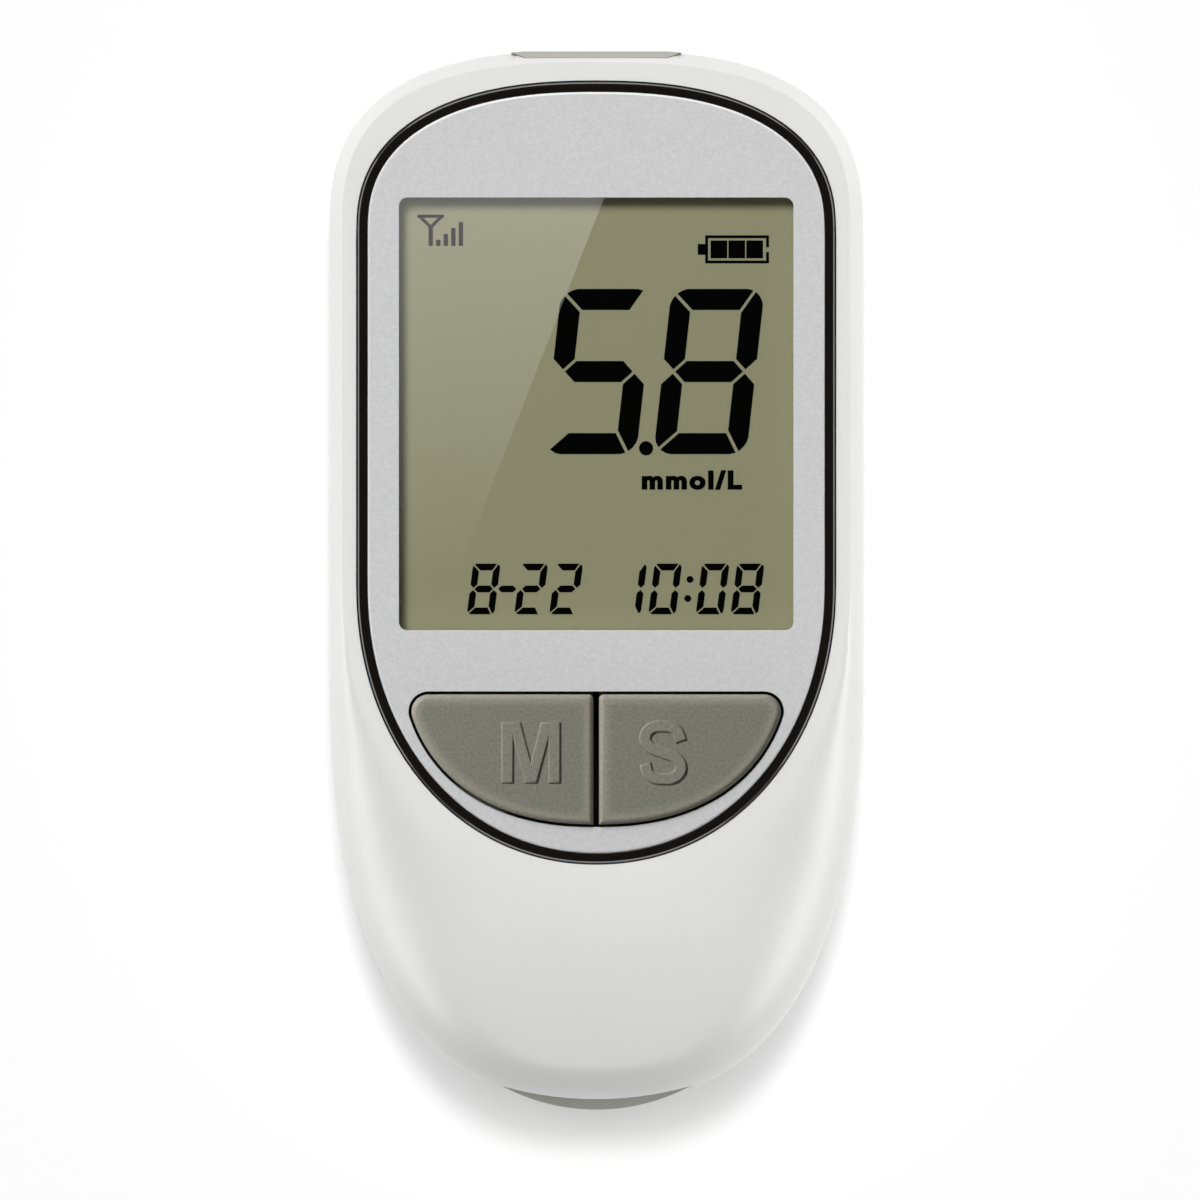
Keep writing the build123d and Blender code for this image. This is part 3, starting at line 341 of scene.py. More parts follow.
SLOT_OF = {row["node"]: row["material_slot"] for row in frame["record"]["subparts"]}
for name, node in nodes.items():
    node.data.materials.clear()
    node.data.materials.append(FINISHES["mat_black" if name == "keypad_mat" else SLOT_OF[name]])
print("finishes:", len(FINISHES), "for", len(SLOT_OF), "nodes")

# %% [markdown]
# ## Smooth copies of the moulded pieces
#
# A node of the construction is a set of loose flat triangles, so a curved wall shows facets.
# A copy is merged into one skin, shaded smooth, and kept sharp only where two faces meet at a
# real crease. It then stands for the node, at the same place and size. On pieces with flat
# faces, the triangles are dissolved into those faces first, which leaves clean edges for a bevel
# to round: no moulded edge is perfectly sharp, and the eye looks for its thin highlight.
# Hardened normals keep the flat faces flat beside their rounded edges.

# %% Merge, smooth and round
MERGE = 0.002 * MM  # corners of neighbouring triangles are this close
FLAT = math.radians(0.2)  # faces that differ by less are one flat face
CREASE = math.radians(28)  # a sharper turn than this is a real edge


def merged(node_name, flat_faces=False):
    """A node's triangles as one skin, in a bmesh."""
    work = bmesh.new()
    work.from_mesh(nodes[node_name].data)
    bmesh.ops.remove_doubles(work, verts=work.verts, dist=MERGE)
    if flat_faces:
        bmesh.ops.dissolve_limit(work, angle_limit=FLAT, verts=work.verts, edges=work.edges)
    return work


def mesh_of(work, name, outwards=False):
    """A bmesh as a mesh. With outwards, all its faces are turned to point out."""
    if outwards:
        bmesh.ops.recalc_face_normals(work, faces=work.faces)
    mesh = bpy.data.meshes.new(name)
    work.to_mesh(mesh)
    work.free()
    return mesh


def mesh_from(name, points, edges=(), faces=()):
    """A mesh from its points, and the pairs or rings of them that are joined."""
    mesh = bpy.data.meshes.new(name)
    mesh.from_pydata(points, edges, faces)
    return mesh


def put(name, data):
    """An object with this data, in the scene and at the origin."""
    thing = bpy.data.objects.new(name, data)
    bpy.context.scene.collection.objects.link(thing)
    return thing


def new_piece(name, mesh, finish):
    """A mesh as an object with one finish."""
    mesh.name = name
    mesh.materials.clear()
    mesh.materials.append(finish)
    return put(name, mesh)


def stand_for(piece, node_name):
    """Lets a piece stand for a node: on the same body, with the node hidden."""
    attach(piece, nodes[node_name]["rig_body"])
    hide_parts(node_name)


def stand_in(work, piece_name, node_name, edge_mm=0.0, edge_finish=None):
    """Shades a bmesh smooth between its creases, and lets it stand for its node."""
    for face in work.faces:
        face.smooth = True
    for edge in work.edges:
        edge.smooth = not (edge.is_manifold and edge.calc_face_angle() > CREASE)
    open_edges = sum(1 for edge in work.edges if not edge.is_manifold)
    mesh = mesh_of(work, piece_name)
    piece = new_piece(piece_name, mesh, FINISHES[SLOT_OF[node_name]])
    if edge_mm:
        bevel = piece.modifiers.new("rounded_edges", "BEVEL")
        bevel.limit_method = "ANGLE"
        bevel.angle_limit = CREASE
        bevel.width = edge_mm * MM
        bevel.segments = 3
        bevel.harden_normals = True
        if edge_finish:
            mesh.materials.append(edge_finish)
            bevel.material = 1
    stand_for(piece, node_name)
    print(piece_name, "faces", len(mesh.polygons), "open edges", open_edges)
    return piece

# %% Casing, door, plate and cells
stand_in(merged("front_shell"), "casing_front", "front_shell")
stand_in(merged("rear_cover"), "casing_back", "rear_cover")
door = stand_in(merged("battery_door"), "door_with_finger_lip", "battery_door")
stand_in(merged("strip_port", flat_faces=True), "strip_port_insert", "strip_port", edge_mm=0.08)
PLATE_CUT = 0.2  # the width of the bright cut, in mm
plate = stand_in(
    merged("faceplate", flat_faces=True), "silver_faceplate", "faceplate", edge_mm=PLATE_CUT,
    edge_finish=cut_edge,
)
for cell in ("battery_1", "battery_2"):
    stand_in(merged(cell), cell + "_cell", cell)
for contact in ("battery_bridge", "contact_plus", "contact_minus"):
    stand_in(merged(contact), contact + "_plated", contact)

# %% [markdown]
# ## Keys with a pale rim
#
# The thin rounded rim of a key lets more light through than its thick middle, and looks paler
# and warmer. That light is painted into the colour here. The finish needs to know how far a
# point is from the rim, so the flat top is cut into a fine grid, and each corner keeps its
# distance as an attribute, from 0 on the rim to 1 in the middle. The shader mixes its two colours
# by it, which paints the paler rim.

# %% Keys
GRID = 0.5 * MM
RIM_WIDTH = 0.8 * MM  # from here inwards, a key has the colour of its middle
FACES_UP = 0.999  # a face whose normal rises more than this faces up


def distance_to(point, start, end):
    """How far a point is from a straight edge, seen from above."""
    along = end - start
    share = max(0.0, min(1.0, (point - start).dot(along) / along.length_squared))
    return (point - start - along * share).length


def key_piece(node_name, piece_name):
    """A key whose flat top is a fine grid, where each corner knows how far the rim is."""
    work = merged(node_name, flat_faces=True)
    layer = work.verts.layers.float.new("from_rim")
    low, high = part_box(node_name)

    def flat_top():
        upward = [face for face in work.faces if face.normal.z > FACES_UP]
        return [face for face in upward if face.calc_center_median().z > high.z - MERGE]

    top = max(flat_top(), key=lambda face: face.calc_area())
    rim = [(edge.verts[0].co.xy.copy(), edge.verts[1].co.xy.copy()) for edge in top.edges]
    for axis, normal in ((0, Vector((1, 0, 0))), (1, Vector((0, 1, 0)))):
        reach = low[axis] + GRID
        while reach < high[axis]:
            flat = flat_top()
            edges = {edge for face in flat for edge in face.edges}
            corners = {vertex for face in flat for vertex in face.verts}
            bmesh.ops.bisect_plane(
                work, geom=[*flat, *edges, *corners], dist=MERGE, plane_co=normal * reach, plane_no=normal
            )
            reach += GRID
    # A top corner's distance from the rim sets how much of the painted rim light it gets.
    for vertex in work.verts:
        if vertex.co.z > high.z - MERGE:
            nearest = min(distance_to(vertex.co.xy, start, end) for start, end in rim)
            share = min(1.0, nearest / RIM_WIDTH)
            vertex[layer] = share * share * (3 - 2 * share)
    return stand_in(work, piece_name, node_name)


keys = [key_piece("key_m", "left_key"), key_piece("key_s", "right_key")]

# %% [markdown]
# ## Geometry Nodes, and how they become plain pieces
#
# Some things follow a rule: a ring follows its path, screws and bars repeat. Geometry Nodes
# make them from a few named sizes. A tree takes a start mesh and ends by making its instances
# real and setting the finish. One function runs a tree with its values and turns the result
# into a plain mesh, because what is exported has to stand without the tree. Text and curves
# become meshes in the same way.

# %% Helpers for Geometry Nodes
def new_tree(name, inputs):
    """A tree that takes a geometry and named sizes. Returns it with its inputs, by name."""
    tree = bpy.data.node_groups.new(name, "GeometryNodeTree")
    tree.interface.new_socket("Geometry", in_out="INPUT", socket_type="NodeSocketGeometry")
    tree.interface.new_socket("Geometry", in_out="OUTPUT", socket_type="NodeSocketGeometry")
    for label, kind in inputs.items():
        tree.interface.new_socket(label, in_out="INPUT", socket_type="NodeSocket" + kind)
    return tree, add(tree, "NodeGroupInput").outputs


def close_tree(tree, geometry, finish):
    """Ends a tree: instances become real, and the finish is set."""
    real = add(tree, "GeometryNodeRealizeInstances", Geometry=geometry)
    painted = add(tree, "GeometryNodeSetMaterial", Geometry=real, Material=finish)
    add(tree, "NodeGroupOutput", Geometry=painted)


def plain_mesh(name, data, tree=None, values=None):
    """What an object with this data shows once it is evaluated, as a mesh. The object goes."""
    source = put(name, data)
    if tree:
        modifier = source.modifiers.new("tree", "NODES")
        modifier.node_group = tree
        for item in tree.interface.items_tree:
            if item.in_out == "INPUT" and item.name in values:
                modifier[item.identifier] = values[item.name]
    bpy.context.view_layer.update()
    mesh = bpy.data.meshes.new_from_object(source.evaluated_get(bpy.context.evaluated_depsgraph_get()))
    bpy.data.objects.remove(source)
    return mesh


def grow(name, tree, start, values, finish):
    """Runs a tree on a start mesh, and returns the result as a plain piece."""
    work = bmesh.new()
    work.from_mesh(plain_mesh(name + "_start", start, tree, values))
    mesh = mesh_of(work, name, outwards=True)
    print(name, "faces", len(mesh.polygons))
    return new_piece(name, mesh, finish)

# %% [markdown]
# ## The trim ring
#
# The ring is one section swept round the faceplate: a rectangle with its outer upper corner cut
# at 45 degrees. Its path is two rounded ends, each half of a superellipse, with straight sides
# between. Swept by a tree, it has clean bands of faces all round, which is what a gloss finish
# needs: on uneven triangles, long reflections would wobble.

# %% Ring path
ring_low, ring_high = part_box("trim_ring")
RING_TOP_CROWN, RING_TOP_POWER = 15.8, 2.4  # the upper end's height in mm, and how square it is
RING_LOW_CROWN, RING_LOW_POWER = 29.2, 2.08
RING_STEPS = 96  # steps round one end


def crown_point(half_width, reach, power, turn):
    """A point of a rounded end, seen from its centre: a superellipse."""
    across, along = math.cos(turn), math.sin(turn)
    radius = ((abs(across) / half_width) ** power + (abs(along) / reach) ** power) ** (-1 / power)
    return radius * across, radius * along


def ring_path():
    """The ring's outer edge as a closed loop of edges, at height 0."""
    half_width = ring_high.x
    points = []
    for start, centre, crown, power in (
        (0.0, ring_high.y - RING_TOP_CROWN * MM, RING_TOP_CROWN * MM, RING_TOP_POWER),
        (math.pi, ring_low.y + RING_LOW_CROWN * MM, RING_LOW_CROWN * MM, RING_LOW_POWER),
    ):
        for step in range(RING_STEPS + 1):
            x, y = crown_point(half_width, crown, power, start + math.pi * step / RING_STEPS)
            points.append((x, centre + y, 0.0))
    return mesh_from("ring_path", points, edges=[(i, (i + 1) % len(points)) for i in range(len(points))])

# %% Ring tree
# A section is swept with its x outwards and its y down, so its upper outer corner is its last.
OUTER_TOP = 3

sweep, given = new_tree(
    "section_along_a_path",
    {"Width": "Float", "Height": "Float", "Shift": "Vector", "Chamfer": "Float", "Edge Radius": "Float"},
)
section = add(sweep, "GeometryNodeCurvePrimitiveQuadrilateral", Width=given["Width"], Height=given["Height"])
corner = add(sweep, "GeometryNodeInputIndex")
outer_top = add(
    sweep, "FunctionNodeCompare", {"data_type": "INT", "operation": "EQUAL"}, A_INT=corner, B_INT=OUTER_TOP
)
size = add(sweep, "ShaderNodeMath", {"operation": "MULTIPLY"}, Value=outer_top, Value_001=given["Chamfer"])
rounded = section
for count, radius in ((1, size), (3, given["Edge Radius"])):
    rounded = add(
        sweep, "GeometryNodeFilletCurve", {"mode": "POLY"}, Curve=rounded, Count=count, Radius=radius
    )
placed = add(sweep, "GeometryNodeSetPosition", Geometry=rounded, Offset=given["Shift"])
path = add(sweep, "GeometryNodeMeshToCurve", Mesh=given["Geometry"])
upright = add(sweep, "GeometryNodeSetCurveNormal", {"mode": "Z_UP"}, Curve=path)
swept = add(sweep, "GeometryNodeCurveToMesh", Curve=upright, Profile_Curve=placed)
close_tree(sweep, swept, black_gloss)

ring_width = ring_high.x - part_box("faceplate")[1].x - 0.01 * MM  # all but touching the plate
ring = grow(
    "black_ring", sweep, ring_path(),
    {
        "Width": ring_width,
        "Height": ring_high.z - ring_low.z,
        "Shift": (-ring_width / 2, -(ring_high.z + ring_low.z) / 2, 0.0),
        "Chamfer": 0.3 * MM,
        "Edge Radius": 0.05 * MM,
    },
    black_gloss,
)
ring.data.shade_smooth()
even = ring.modifiers.new("flat_faces_stay_flat", "WEIGHTED_NORMAL")
even.keep_sharp = True
stand_for(ring, "trim_ring")

# %% [markdown]
# ## Screws
#
# Four screws of one size hold the casing, and four smaller ones the board. One of each is cut
# out of the construction and its edges are rounded once. A tree then sets it at all four
# places, which are read from the node: each loose island of the mesh is one screw.

# %% The solids of a node
def islands(work):
    """The separate solids of a bmesh, each a set of vertices."""
    left, found = set(work.verts), []
    while left:
        island, border = set(), [left.pop()]
        while border:
            vertex = border.pop()
            island.add(vertex)
            for edge in vertex.link_edges:
                other = edge.other_vert(vertex)
                if other in left:
                    left.remove(other)
                    border.append(other)
        found.append(island)
    return found


def middle_of(island):
    """The middle of an island, seen from above."""
    xs = [v.co.x for v in island]
    ys = [v.co.y for v in island]
    return Vector(((min(xs) + max(xs)) / 2, (min(ys) + max(ys)) / 2, 0.0))

# %% Screws
setting, given = new_tree("screw_at_each_place", {"Screw": "Object"})
model = add(setting, "GeometryNodeObjectInfo", Object=given["Screw"]).outputs["Geometry"]
placed = add(setting, "GeometryNodeInstanceOnPoints", Points=given["Geometry"], Instance=model)
close_tree(setting, placed, FINISHES["screw_steel"])


def set_of_screws(node_name, piece_name, edge_mm):
    """One screw of a node with rounded edges, set at the places of all of them."""
    work = merged(node_name, flat_faces=True)
    found = sorted(islands(work), key=lambda island: tuple(middle_of(island)))
    centres = [middle_of(island) for island in found]
    bmesh.ops.delete(work, geom=[v for island in found[1:] for v in island], context="VERTS")
    bmesh.ops.translate(work, verts=work.verts, vec=-centres[0])
    edges = [e for e in work.edges if e.is_manifold and e.calc_face_angle() > CREASE]
    bmesh.ops.bevel(
        work, geom=edges, offset=edge_mm * MM, offset_type="OFFSET", segments=2, profile=0.5,
        affect="EDGES", clamp_overlap=True, material=-1,
    )
    screw = put(piece_name + "_model", mesh_of(work, piece_name + "_model"))
    places = mesh_from(piece_name + "_places", centres)
    piece = grow(piece_name, setting, places, {"Screw": screw}, FINISHES["screw_steel"])
    bpy.data.objects.remove(screw)
    piece.data.shade_smooth()
    piece.data.set_sharp_from_angle(angle=CREASE)
    stand_for(piece, node_name)
    print(piece_name, "screws", len(found))


set_of_screws("housing_screws", "casing_screws", edge_mm=0.05)
set_of_screws("board_screws", "small_screws", edge_mm=0.03)

# %% [markdown]
# ## The marks on the display
#
# A liquid crystal display draws with fixed segments. One digit is seven of them, cut from one
# slanting block with rounded corners and parted by hairline gaps. So the code starts from the
# whole block and cuts each segment out of it along straight lines. Outlines become thin closed
# plates above the film.

# %% Plates from outlines
MARK_THICKNESS = 0.02 * MM
MARK_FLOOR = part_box("lcd_polariser")[1].z + 0.005 * MM


def on_display(piece):
    """Lets a mark ride on the housing."""
    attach(piece, "housing")


def plates(name, outlines):
    """One mesh of thin closed plates on the film, one for each outline. Outlines are in mm."""
    work = bmesh.new()
    for outline in outlines:
        face = work.faces.new([work.verts.new((x * MM, y * MM, MARK_FLOOR)) for x, y in outline])
        lifted = bmesh.ops.extrude_face_region(work, geom=[face], use_keep_orig=True)
        top = [v for v in lifted["geom"] if isinstance(v, bmesh.types.BMVert)]
        bmesh.ops.translate(work, verts=top, vec=(0, 0, MARK_THICKNESS))
    on_display(new_piece(name, mesh_of(work, name, outwards=True), display_black))
    print(name, "plates", len(outlines))

# %% Cuts
CORNERS = ((-1, -1), (-1, 1), (1, -1), (1, 1))


def cut(outline, towards, through, back=0.0):
    """Cuts off what lies beyond a line: the line passes through a point and faces towards."""
    size = math.hypot(*towards)
    nx, ny = towards[0] / size, towards[1] / size
    reach = nx * through[0] + ny * through[1] - back
    kept = []
    for start, end in zip(outline, outline[1:] + outline[:1]):
        beyond = nx * start[0] + ny * start[1] - reach
        next_beyond = nx * end[0] + ny * end[1] - reach
        if beyond <= 0:
            kept.append(start)
        if beyond * next_beyond < 0:
            share = beyond / (beyond - next_beyond)
            kept.append(tuple(a + share * (b - a) for a, b in zip(start, end)))
    return kept


def pointed(bar, reach, back=0.0):
    """Cuts both ends of a level bar to points, at reach from its middle."""
    for across, along in CORNERS:
        bar = cut(bar, (across, along), (across * reach, 0), back)
    return bar

# %% Seven segments
LIT = {"0": "abcdef", "1": "bc", "2": "abged", "5": "afgcd", "8": "abcdefg"}
CORNER_TURNS = (15, 30, 45, 60, 75)
MITRE = {-1: math.radians(46), 1: math.radians(31)}  # the joints at the left and right corners


def seven_segments(width, height, bar, gap, radius):
    """The outlines of the segments a to g of an upright digit, centred on the origin."""
    right, top, back = width / 2, height / 2, gap / 2
    whole = [(-right, -top), (right, -top), (right, top), (-right, top)]
    for across, along in CORNERS:
        centre = (across * (right - radius), along * (top - radius))
        for turn in CORNER_TURNS:
            side = (across * math.cos(math.radians(turn)), along * math.sin(math.radians(turn)))
            whole = cut(whole, side, tuple(c + radius * s for c, s in zip(centre, side)))

    def level(along):
        shape = cut(whole, (0, -along), (0, along * (top - bar)))
        for across, lean in MITRE.items():
            corner = (across * (right - bar), along * (top - bar))
            shape = cut(shape, (across * math.cos(lean), -along * math.sin(lean)), corner, back)
        return shape

    def upright(across, along):
        lean = MITRE[across]
        inner = across * (right - bar)
        shape = cut(whole, (-across, 0), (inner, 0))
        corner = (inner, along * (top - bar))
        shape = cut(shape, (-across * math.cos(lean), along * math.sin(lean)), corner, back)
        for side in (-1, 1):
            shape = cut(shape, (side, -along), (across * (right - bar / 2), 0), back)
        return shape

    bridge = cut(cut(whole, (0, 1), (0, bar / 2)), (0, -1), (0, -bar / 2))
    return {
        "a": level(1), "b": upright(1, 1), "c": upright(1, -1), "d": level(-1),
        "e": upright(-1, -1), "f": upright(-1, 1), "g": pointed(bridge, right - bar / 2, back),
    }

# %% Digits, dots, blocks and strokes
def digits(text, x, y, pitch, lean, **size):
    """The lit segments of leaning digits in a row. The first one's middle is at x, y, in mm."""
    shapes = seven_segments(**size)
    slope = math.tan(math.radians(lean))
    return [
        [(x + step * pitch + px + py * slope, y + py) for px, py in shapes[name]]
        for step, character in enumerate(text) for name in LIT[character]
    ]


def dot(x, y, radius, corners=28):
    """A round dot."""
    turns = [2 * math.pi * step / corners for step in range(corners)]
    return [(x + radius * math.cos(turn), y + radius * math.sin(turn)) for turn in turns]


def block(left, right, low, high):
    """A level rectangle."""
    return [(left, low), (right, low), (right, high), (left, high)]


def stroke(start, end, width):
    """A straight stroke between two points."""
    (x1, y1), (x2, y2) = start, end
    share = width / 2 / math.hypot(x2 - x1, y2 - y1)
    dx, dy = (y2 - y1) * share, (x1 - x2) * share
    return [(x1 + dx, y1 + dy), (x2 + dx, y2 + dy), (x2 - dx, y2 - dy), (x1 - dx, y1 - dy)]

# %% [markdown]
# The reading is large, with a round decimal point; date and time stand below it in small
# digits. Sizes come first, then each digit's middle follows from the pitch between digits.

# %% The reading, the date and the time
LARGE = {"pitch": 11.55, "lean": 6.3, "width": 9.75, "height": 17.3, "bar": 2.2, "gap": 0.32, "radius": 2.0}
READING = (0.27, 21.99)  # the first large digit's middle
POINT = {"x": 5.22, "y": 13.95, "radius": 0.74}  # the decimal point
SMALL = {"pitch": 3.66, "lean": 7.3, "width": 2.87, "height": 5.3, "bar": 0.7, "gap": 0.16, "radius": 0.5}
SMALL_Y = -0.78
DATE_X = -11.78  # the month's middle
TIME_X = 7.22  # the first zero's middle
DASH_STEP = 2.47  # month to dash
PAIR_STEP = 4.97  # across a dash or a colon
DASH_LENGTH, DASH_THICKNESS = 1.9, 0.68
COLON_HALF, COLON_LEAN, COLON_RADIUS = 1.0, 0.12, 0.36  # up and across to a dot, and its radius

plates("display_reading", digits("58", *READING, **LARGE) + [dot(**POINT)])

half_length, half_thick = DASH_LENGTH / 2, DASH_THICKNESS / 2
dash = pointed(block(-half_length, half_length, -half_thick, half_thick), half_length)
dash = [(DATE_X + DASH_STEP + x, SMALL_Y + y) for x, y in dash]
month = digits("8", DATE_X, SMALL_Y, **SMALL)
plates("display_date", [*month, dash, *digits("22", DATE_X + PAIR_STEP, SMALL_Y, **SMALL)])

colon_x = TIME_X + PAIR_STEP / 2
colon = [
    dot(colon_x + along * COLON_LEAN, SMALL_Y + along * COLON_HALF, COLON_RADIUS) for along in (-1, 1)
]
hour = digits("10", TIME_X - SMALL["pitch"], SMALL_Y, **SMALL)
plates("display_time", [*hour, *colon, *digits("08", TIME_X + PAIR_STEP, SMALL_Y, **SMALL)])

# %% [markdown]
# Two plain pictures sit in the upper corners: a battery with three full cells, and an aerial
# with four rising bars. The cells and the bars repeat, so one tree lays out both: a row of
# blocks with a pitch, where each block may stand taller than the one before.

# %% Tree for a row of blocks
row, given = new_tree(
    "row_of_blocks",
    {
        "Count": "Int", "First": "Vector", "Pitch": "Float", "Width": "Float", "Height": "Float",
        "Growth": "Float", "Thickness": "Float",
    },
)
along = add(row, "ShaderNodeCombineXYZ", X=given["Pitch"])
line = add(row, "GeometryNodeMeshLine", Count=given["Count"], Start_Location=given["First"], Offset=along)
number = add(row, "GeometryNodeInputIndex")
tall = add(
    row, "ShaderNodeMath", {"operation": "MULTIPLY_ADD"}, Value=number,
    Value_001=given["Growth"], Value_002=given["Height"],
)
size = add(row, "ShaderNodeCombineXYZ", X=given["Width"], Y=tall, Z=given["Thickness"])
lift = add(row, "ShaderNodeVectorMath", {"operation": "MULTIPLY"}, Vector=size, Vector_001=(0.0, 0.5, 0.5))
raised = add(row, "GeometryNodeSetPosition", Geometry=line, Offset=lift)
cube = add(row, "GeometryNodeMeshCube")
blocks = add(row, "GeometryNodeInstanceOnPoints", Points=raised, Instance=cube, Scale=size)
close_tree(row, blocks, display_black)


def row_of_blocks(name, count, first, pitch, width, height, growth=0.0):
    """A row of upright blocks on the film. first is the middle of the first block's foot, in mm."""
    values = {
        "Count": count, "First": (first[0] * MM, first[1] * MM, MARK_FLOOR), "Pitch": pitch * MM,
        "Width": width * MM, "Height": height * MM, "Growth": growth * MM, "Thickness": MARK_THICKNESS,
    }
    on_display(grow(name, row, bpy.data.meshes.new(name + "_start"), values, display_black))

# %% Battery and signal pictures
BATTERY = {"left": 11.42, "right": 18.09, "low": 33.32, "high": 36.25}
BATTERY_TIP, BATTERY_TIP_HALF = 0.78, 0.56  # the tip's length, and half of its height
BATTERY_LINE = 0.29
BATTERY_GAP = (34.5, 35.0)  # the open stretch in the right wall
CELL_WIDTH, CELL_HEIGHT = 1.74, 1.86
CELL_FIRST = 12.85  # the first cell's middle
CELL_STEP = 1.87
AERIAL = {"x": -17.33, "half_width": 1.4, "high": 38.42, "fork": 37.1, "low": 35.15}
AERIAL_LINE = 0.33
AERIAL_STEM = 0.45
BAR_STEP, BAR_FIRST, BAR_GROWTH = 0.79, 0.63, 0.62  # pitch, first height, what each bar adds

left, right, low, high = (BATTERY[side] for side in ("left", "right", "low", "high"))
middle = (low + high) / 2
plates(
    "display_battery_outline",
    [
        block(left, right, high - BATTERY_LINE, high),
        block(left, right, low, low + BATTERY_LINE),
        block(left, left + BATTERY_LINE, low + BATTERY_LINE, high - BATTERY_LINE),
        block(right - BATTERY_LINE, right, low + BATTERY_LINE, BATTERY_GAP[0]),
        block(right - BATTERY_LINE, right, BATTERY_GAP[1], high - BATTERY_LINE),
        block(left - BATTERY_TIP, left, middle - BATTERY_TIP_HALF, middle + BATTERY_TIP_HALF),
    ],
)
row_of_blocks(
    "display_battery_cells", 3, (CELL_FIRST, middle - CELL_HEIGHT / 2), CELL_STEP, CELL_WIDTH, CELL_HEIGHT
)

x, fork = AERIAL["x"], (AERIAL["x"], AERIAL["fork"])
brow = AERIAL["high"] - AERIAL_LINE / 2
half_width = AERIAL["half_width"]
arm = half_width - AERIAL_LINE * 0.7  # a slanting stroke's corner stays within the brow
plates(
    "display_aerial",
    [
        block(x - half_width, x + half_width, AERIAL["high"] - AERIAL_LINE, AERIAL["high"]),
        stroke((x - arm, brow), fork, AERIAL_LINE),
        stroke((x + arm, brow), fork, AERIAL_LINE),
        block(x - AERIAL_STEM / 2, x + AERIAL_STEM / 2, AERIAL["low"], AERIAL["fork"]),
    ],
)
row_of_blocks(
    "display_signal_bars", 4, (x + BAR_STEP, AERIAL["low"]), BAR_STEP, AERIAL_STEM, BAR_FIRST, BAR_GROWTH
)

# %% [markdown]
# ## The unit
#
# The unit under the reading is a plain heavy sans. A text object gives its letters, and an
# offset makes their strokes heavy. It is made a mesh before its place is applied, so that the
# finished piece has its object at the origin.

# %% Unit
UNIT = {"text": "mmol/L", "cap": 2.05, "width": 10.5, "x": 10.02, "y": 10.63, "bold": 0.055, "spacing": 1.2}

curve = bpy.data.curves.new("unit", "FONT")
curve.body = UNIT["text"]
curve.offset = UNIT["bold"]
curve.space_character = UNIT["spacing"]
curve.resolution_u = 6
curve.extrude = 0.5  # any thickness will do, since each axis is scaled below
mesh = plain_mesh("unit_curve", curve)
low = [min(v.co[axis] for v in mesh.vertices) for axis in range(3)]
high = [max(v.co[axis] for v in mesh.vertices) for axis in range(3)]
wanted = (UNIT["width"] * MM, UNIT["cap"] * MM, MARK_THICKNESS)
first = ((UNIT["x"] - UNIT["width"] / 2) * MM, (UNIT["y"] - UNIT["cap"] / 2) * MM, MARK_FLOOR)
for vertex in mesh.vertices:
    for axis in range(3):
        share = (vertex.co[axis] - low[axis]) / (high[axis] - low[axis])
        vertex.co[axis] = first[axis] + share * wanted[axis]
on_display(new_piece("display_unit", mesh, display_black))
print("unit faces", len(mesh.polygons))

# %% [markdown]
# ## Raised letters on the keys
#
# M is for memory and S for setting. The letters are moulded on the keys, a quarter of a
# millimetre high, with soft shoulders that catch the light on one side and fall dark on the
# other. M is an outline of thirteen corners. S is a band of constant width along a smooth line,
# which is the same turned half round, so only half of that line is given. Both start a little
# inside the key, so that they grow out of it.

# %% Letter outlines, in mm about the letter's middle
M_HALF_WIDTH, M_HALF_HEIGHT = 3.1, 3.2
M_STEM = 1.27
M_SHOULDER = 1.07  # from the middle to the inner corner of a shoulder
M_NOTCH = -0.97  # where the upper notch ends
M_JOINT = 1.38  # where a stem and a slanting stroke part
M_FOOT = 0.63  # half of the middle foot
m_half = [
    (0, M_NOTCH), (M_SHOULDER, M_HALF_HEIGHT), (M_HALF_WIDTH, M_HALF_HEIGHT),
    (M_HALF_WIDTH, -M_HALF_HEIGHT), (M_HALF_WIDTH - M_STEM, -M_HALF_HEIGHT),
    (M_HALF_WIDTH - M_STEM, M_JOINT), (M_FOOT, -M_HALF_HEIGHT),
]
m_outline = m_half + [(-x, y) for x, y in reversed(m_half[1:])]

S_BAND = 1.24
S_HALF_LINE = [(1.9, 1.16), (1.34, 2.4), (0.0, 2.76), (-1.36, 2.47), (-1.88, 1.55), (-1.4, 0.62)]


def smooth_line(points):
    """A smooth line through points, as the points of a curve with automatic handles."""
    curve = bpy.data.curves.new("line", "CURVE")
    curve.dimensions = "2D"
    curve.resolution_u = 10
    spline = curve.splines.new("BEZIER")
    spline.bezier_points.add(len(points) - 1)
    for knot, (x, y) in zip(spline.bezier_points, points):
        knot.co = (x, y, 0)
        knot.handle_left_type = knot.handle_right_type = "AUTO"
    return [Vector(v.co[:2]) for v in plain_mesh("line", curve).vertices]


def band(line, width):
    """The outline of a band of constant width along a line."""
    sides = ([], [])
    for index, point in enumerate(line):
        ahead = line[min(index + 1, len(line) - 1)] - line[max(index - 1, 0)]
        across = Vector((-ahead.y, ahead.x)).normalized() * width / 2
        sides[0].append(tuple(point + across))
        sides[1].append(tuple(point - across))
    return sides[0] + sides[1][::-1]


S_END_STEPS = 5  # each end is straight for so many steps, which leaves room to move it inwards
s_line = smooth_line(S_HALF_LINE + [(0.0, 0.0)] + [(-x, -y) for x, y in reversed(S_HALF_LINE)])
s_outline = band(s_line[:1] + s_line[S_END_STEPS:-S_END_STEPS] + s_line[-1:], S_BAND)

# %% Raise the letters, in mm
LETTER_TONE = 0.8  # how much of the middle's colour a letter has
LETTER_SUNK = 0.1
LETTER_RISE = 0.24
SHOULDER_TURNS = (0, 30, 60, 90)
SHOULDER = 0.2  # how wide a shoulder is
LETTER_CREASE = math.radians(50)
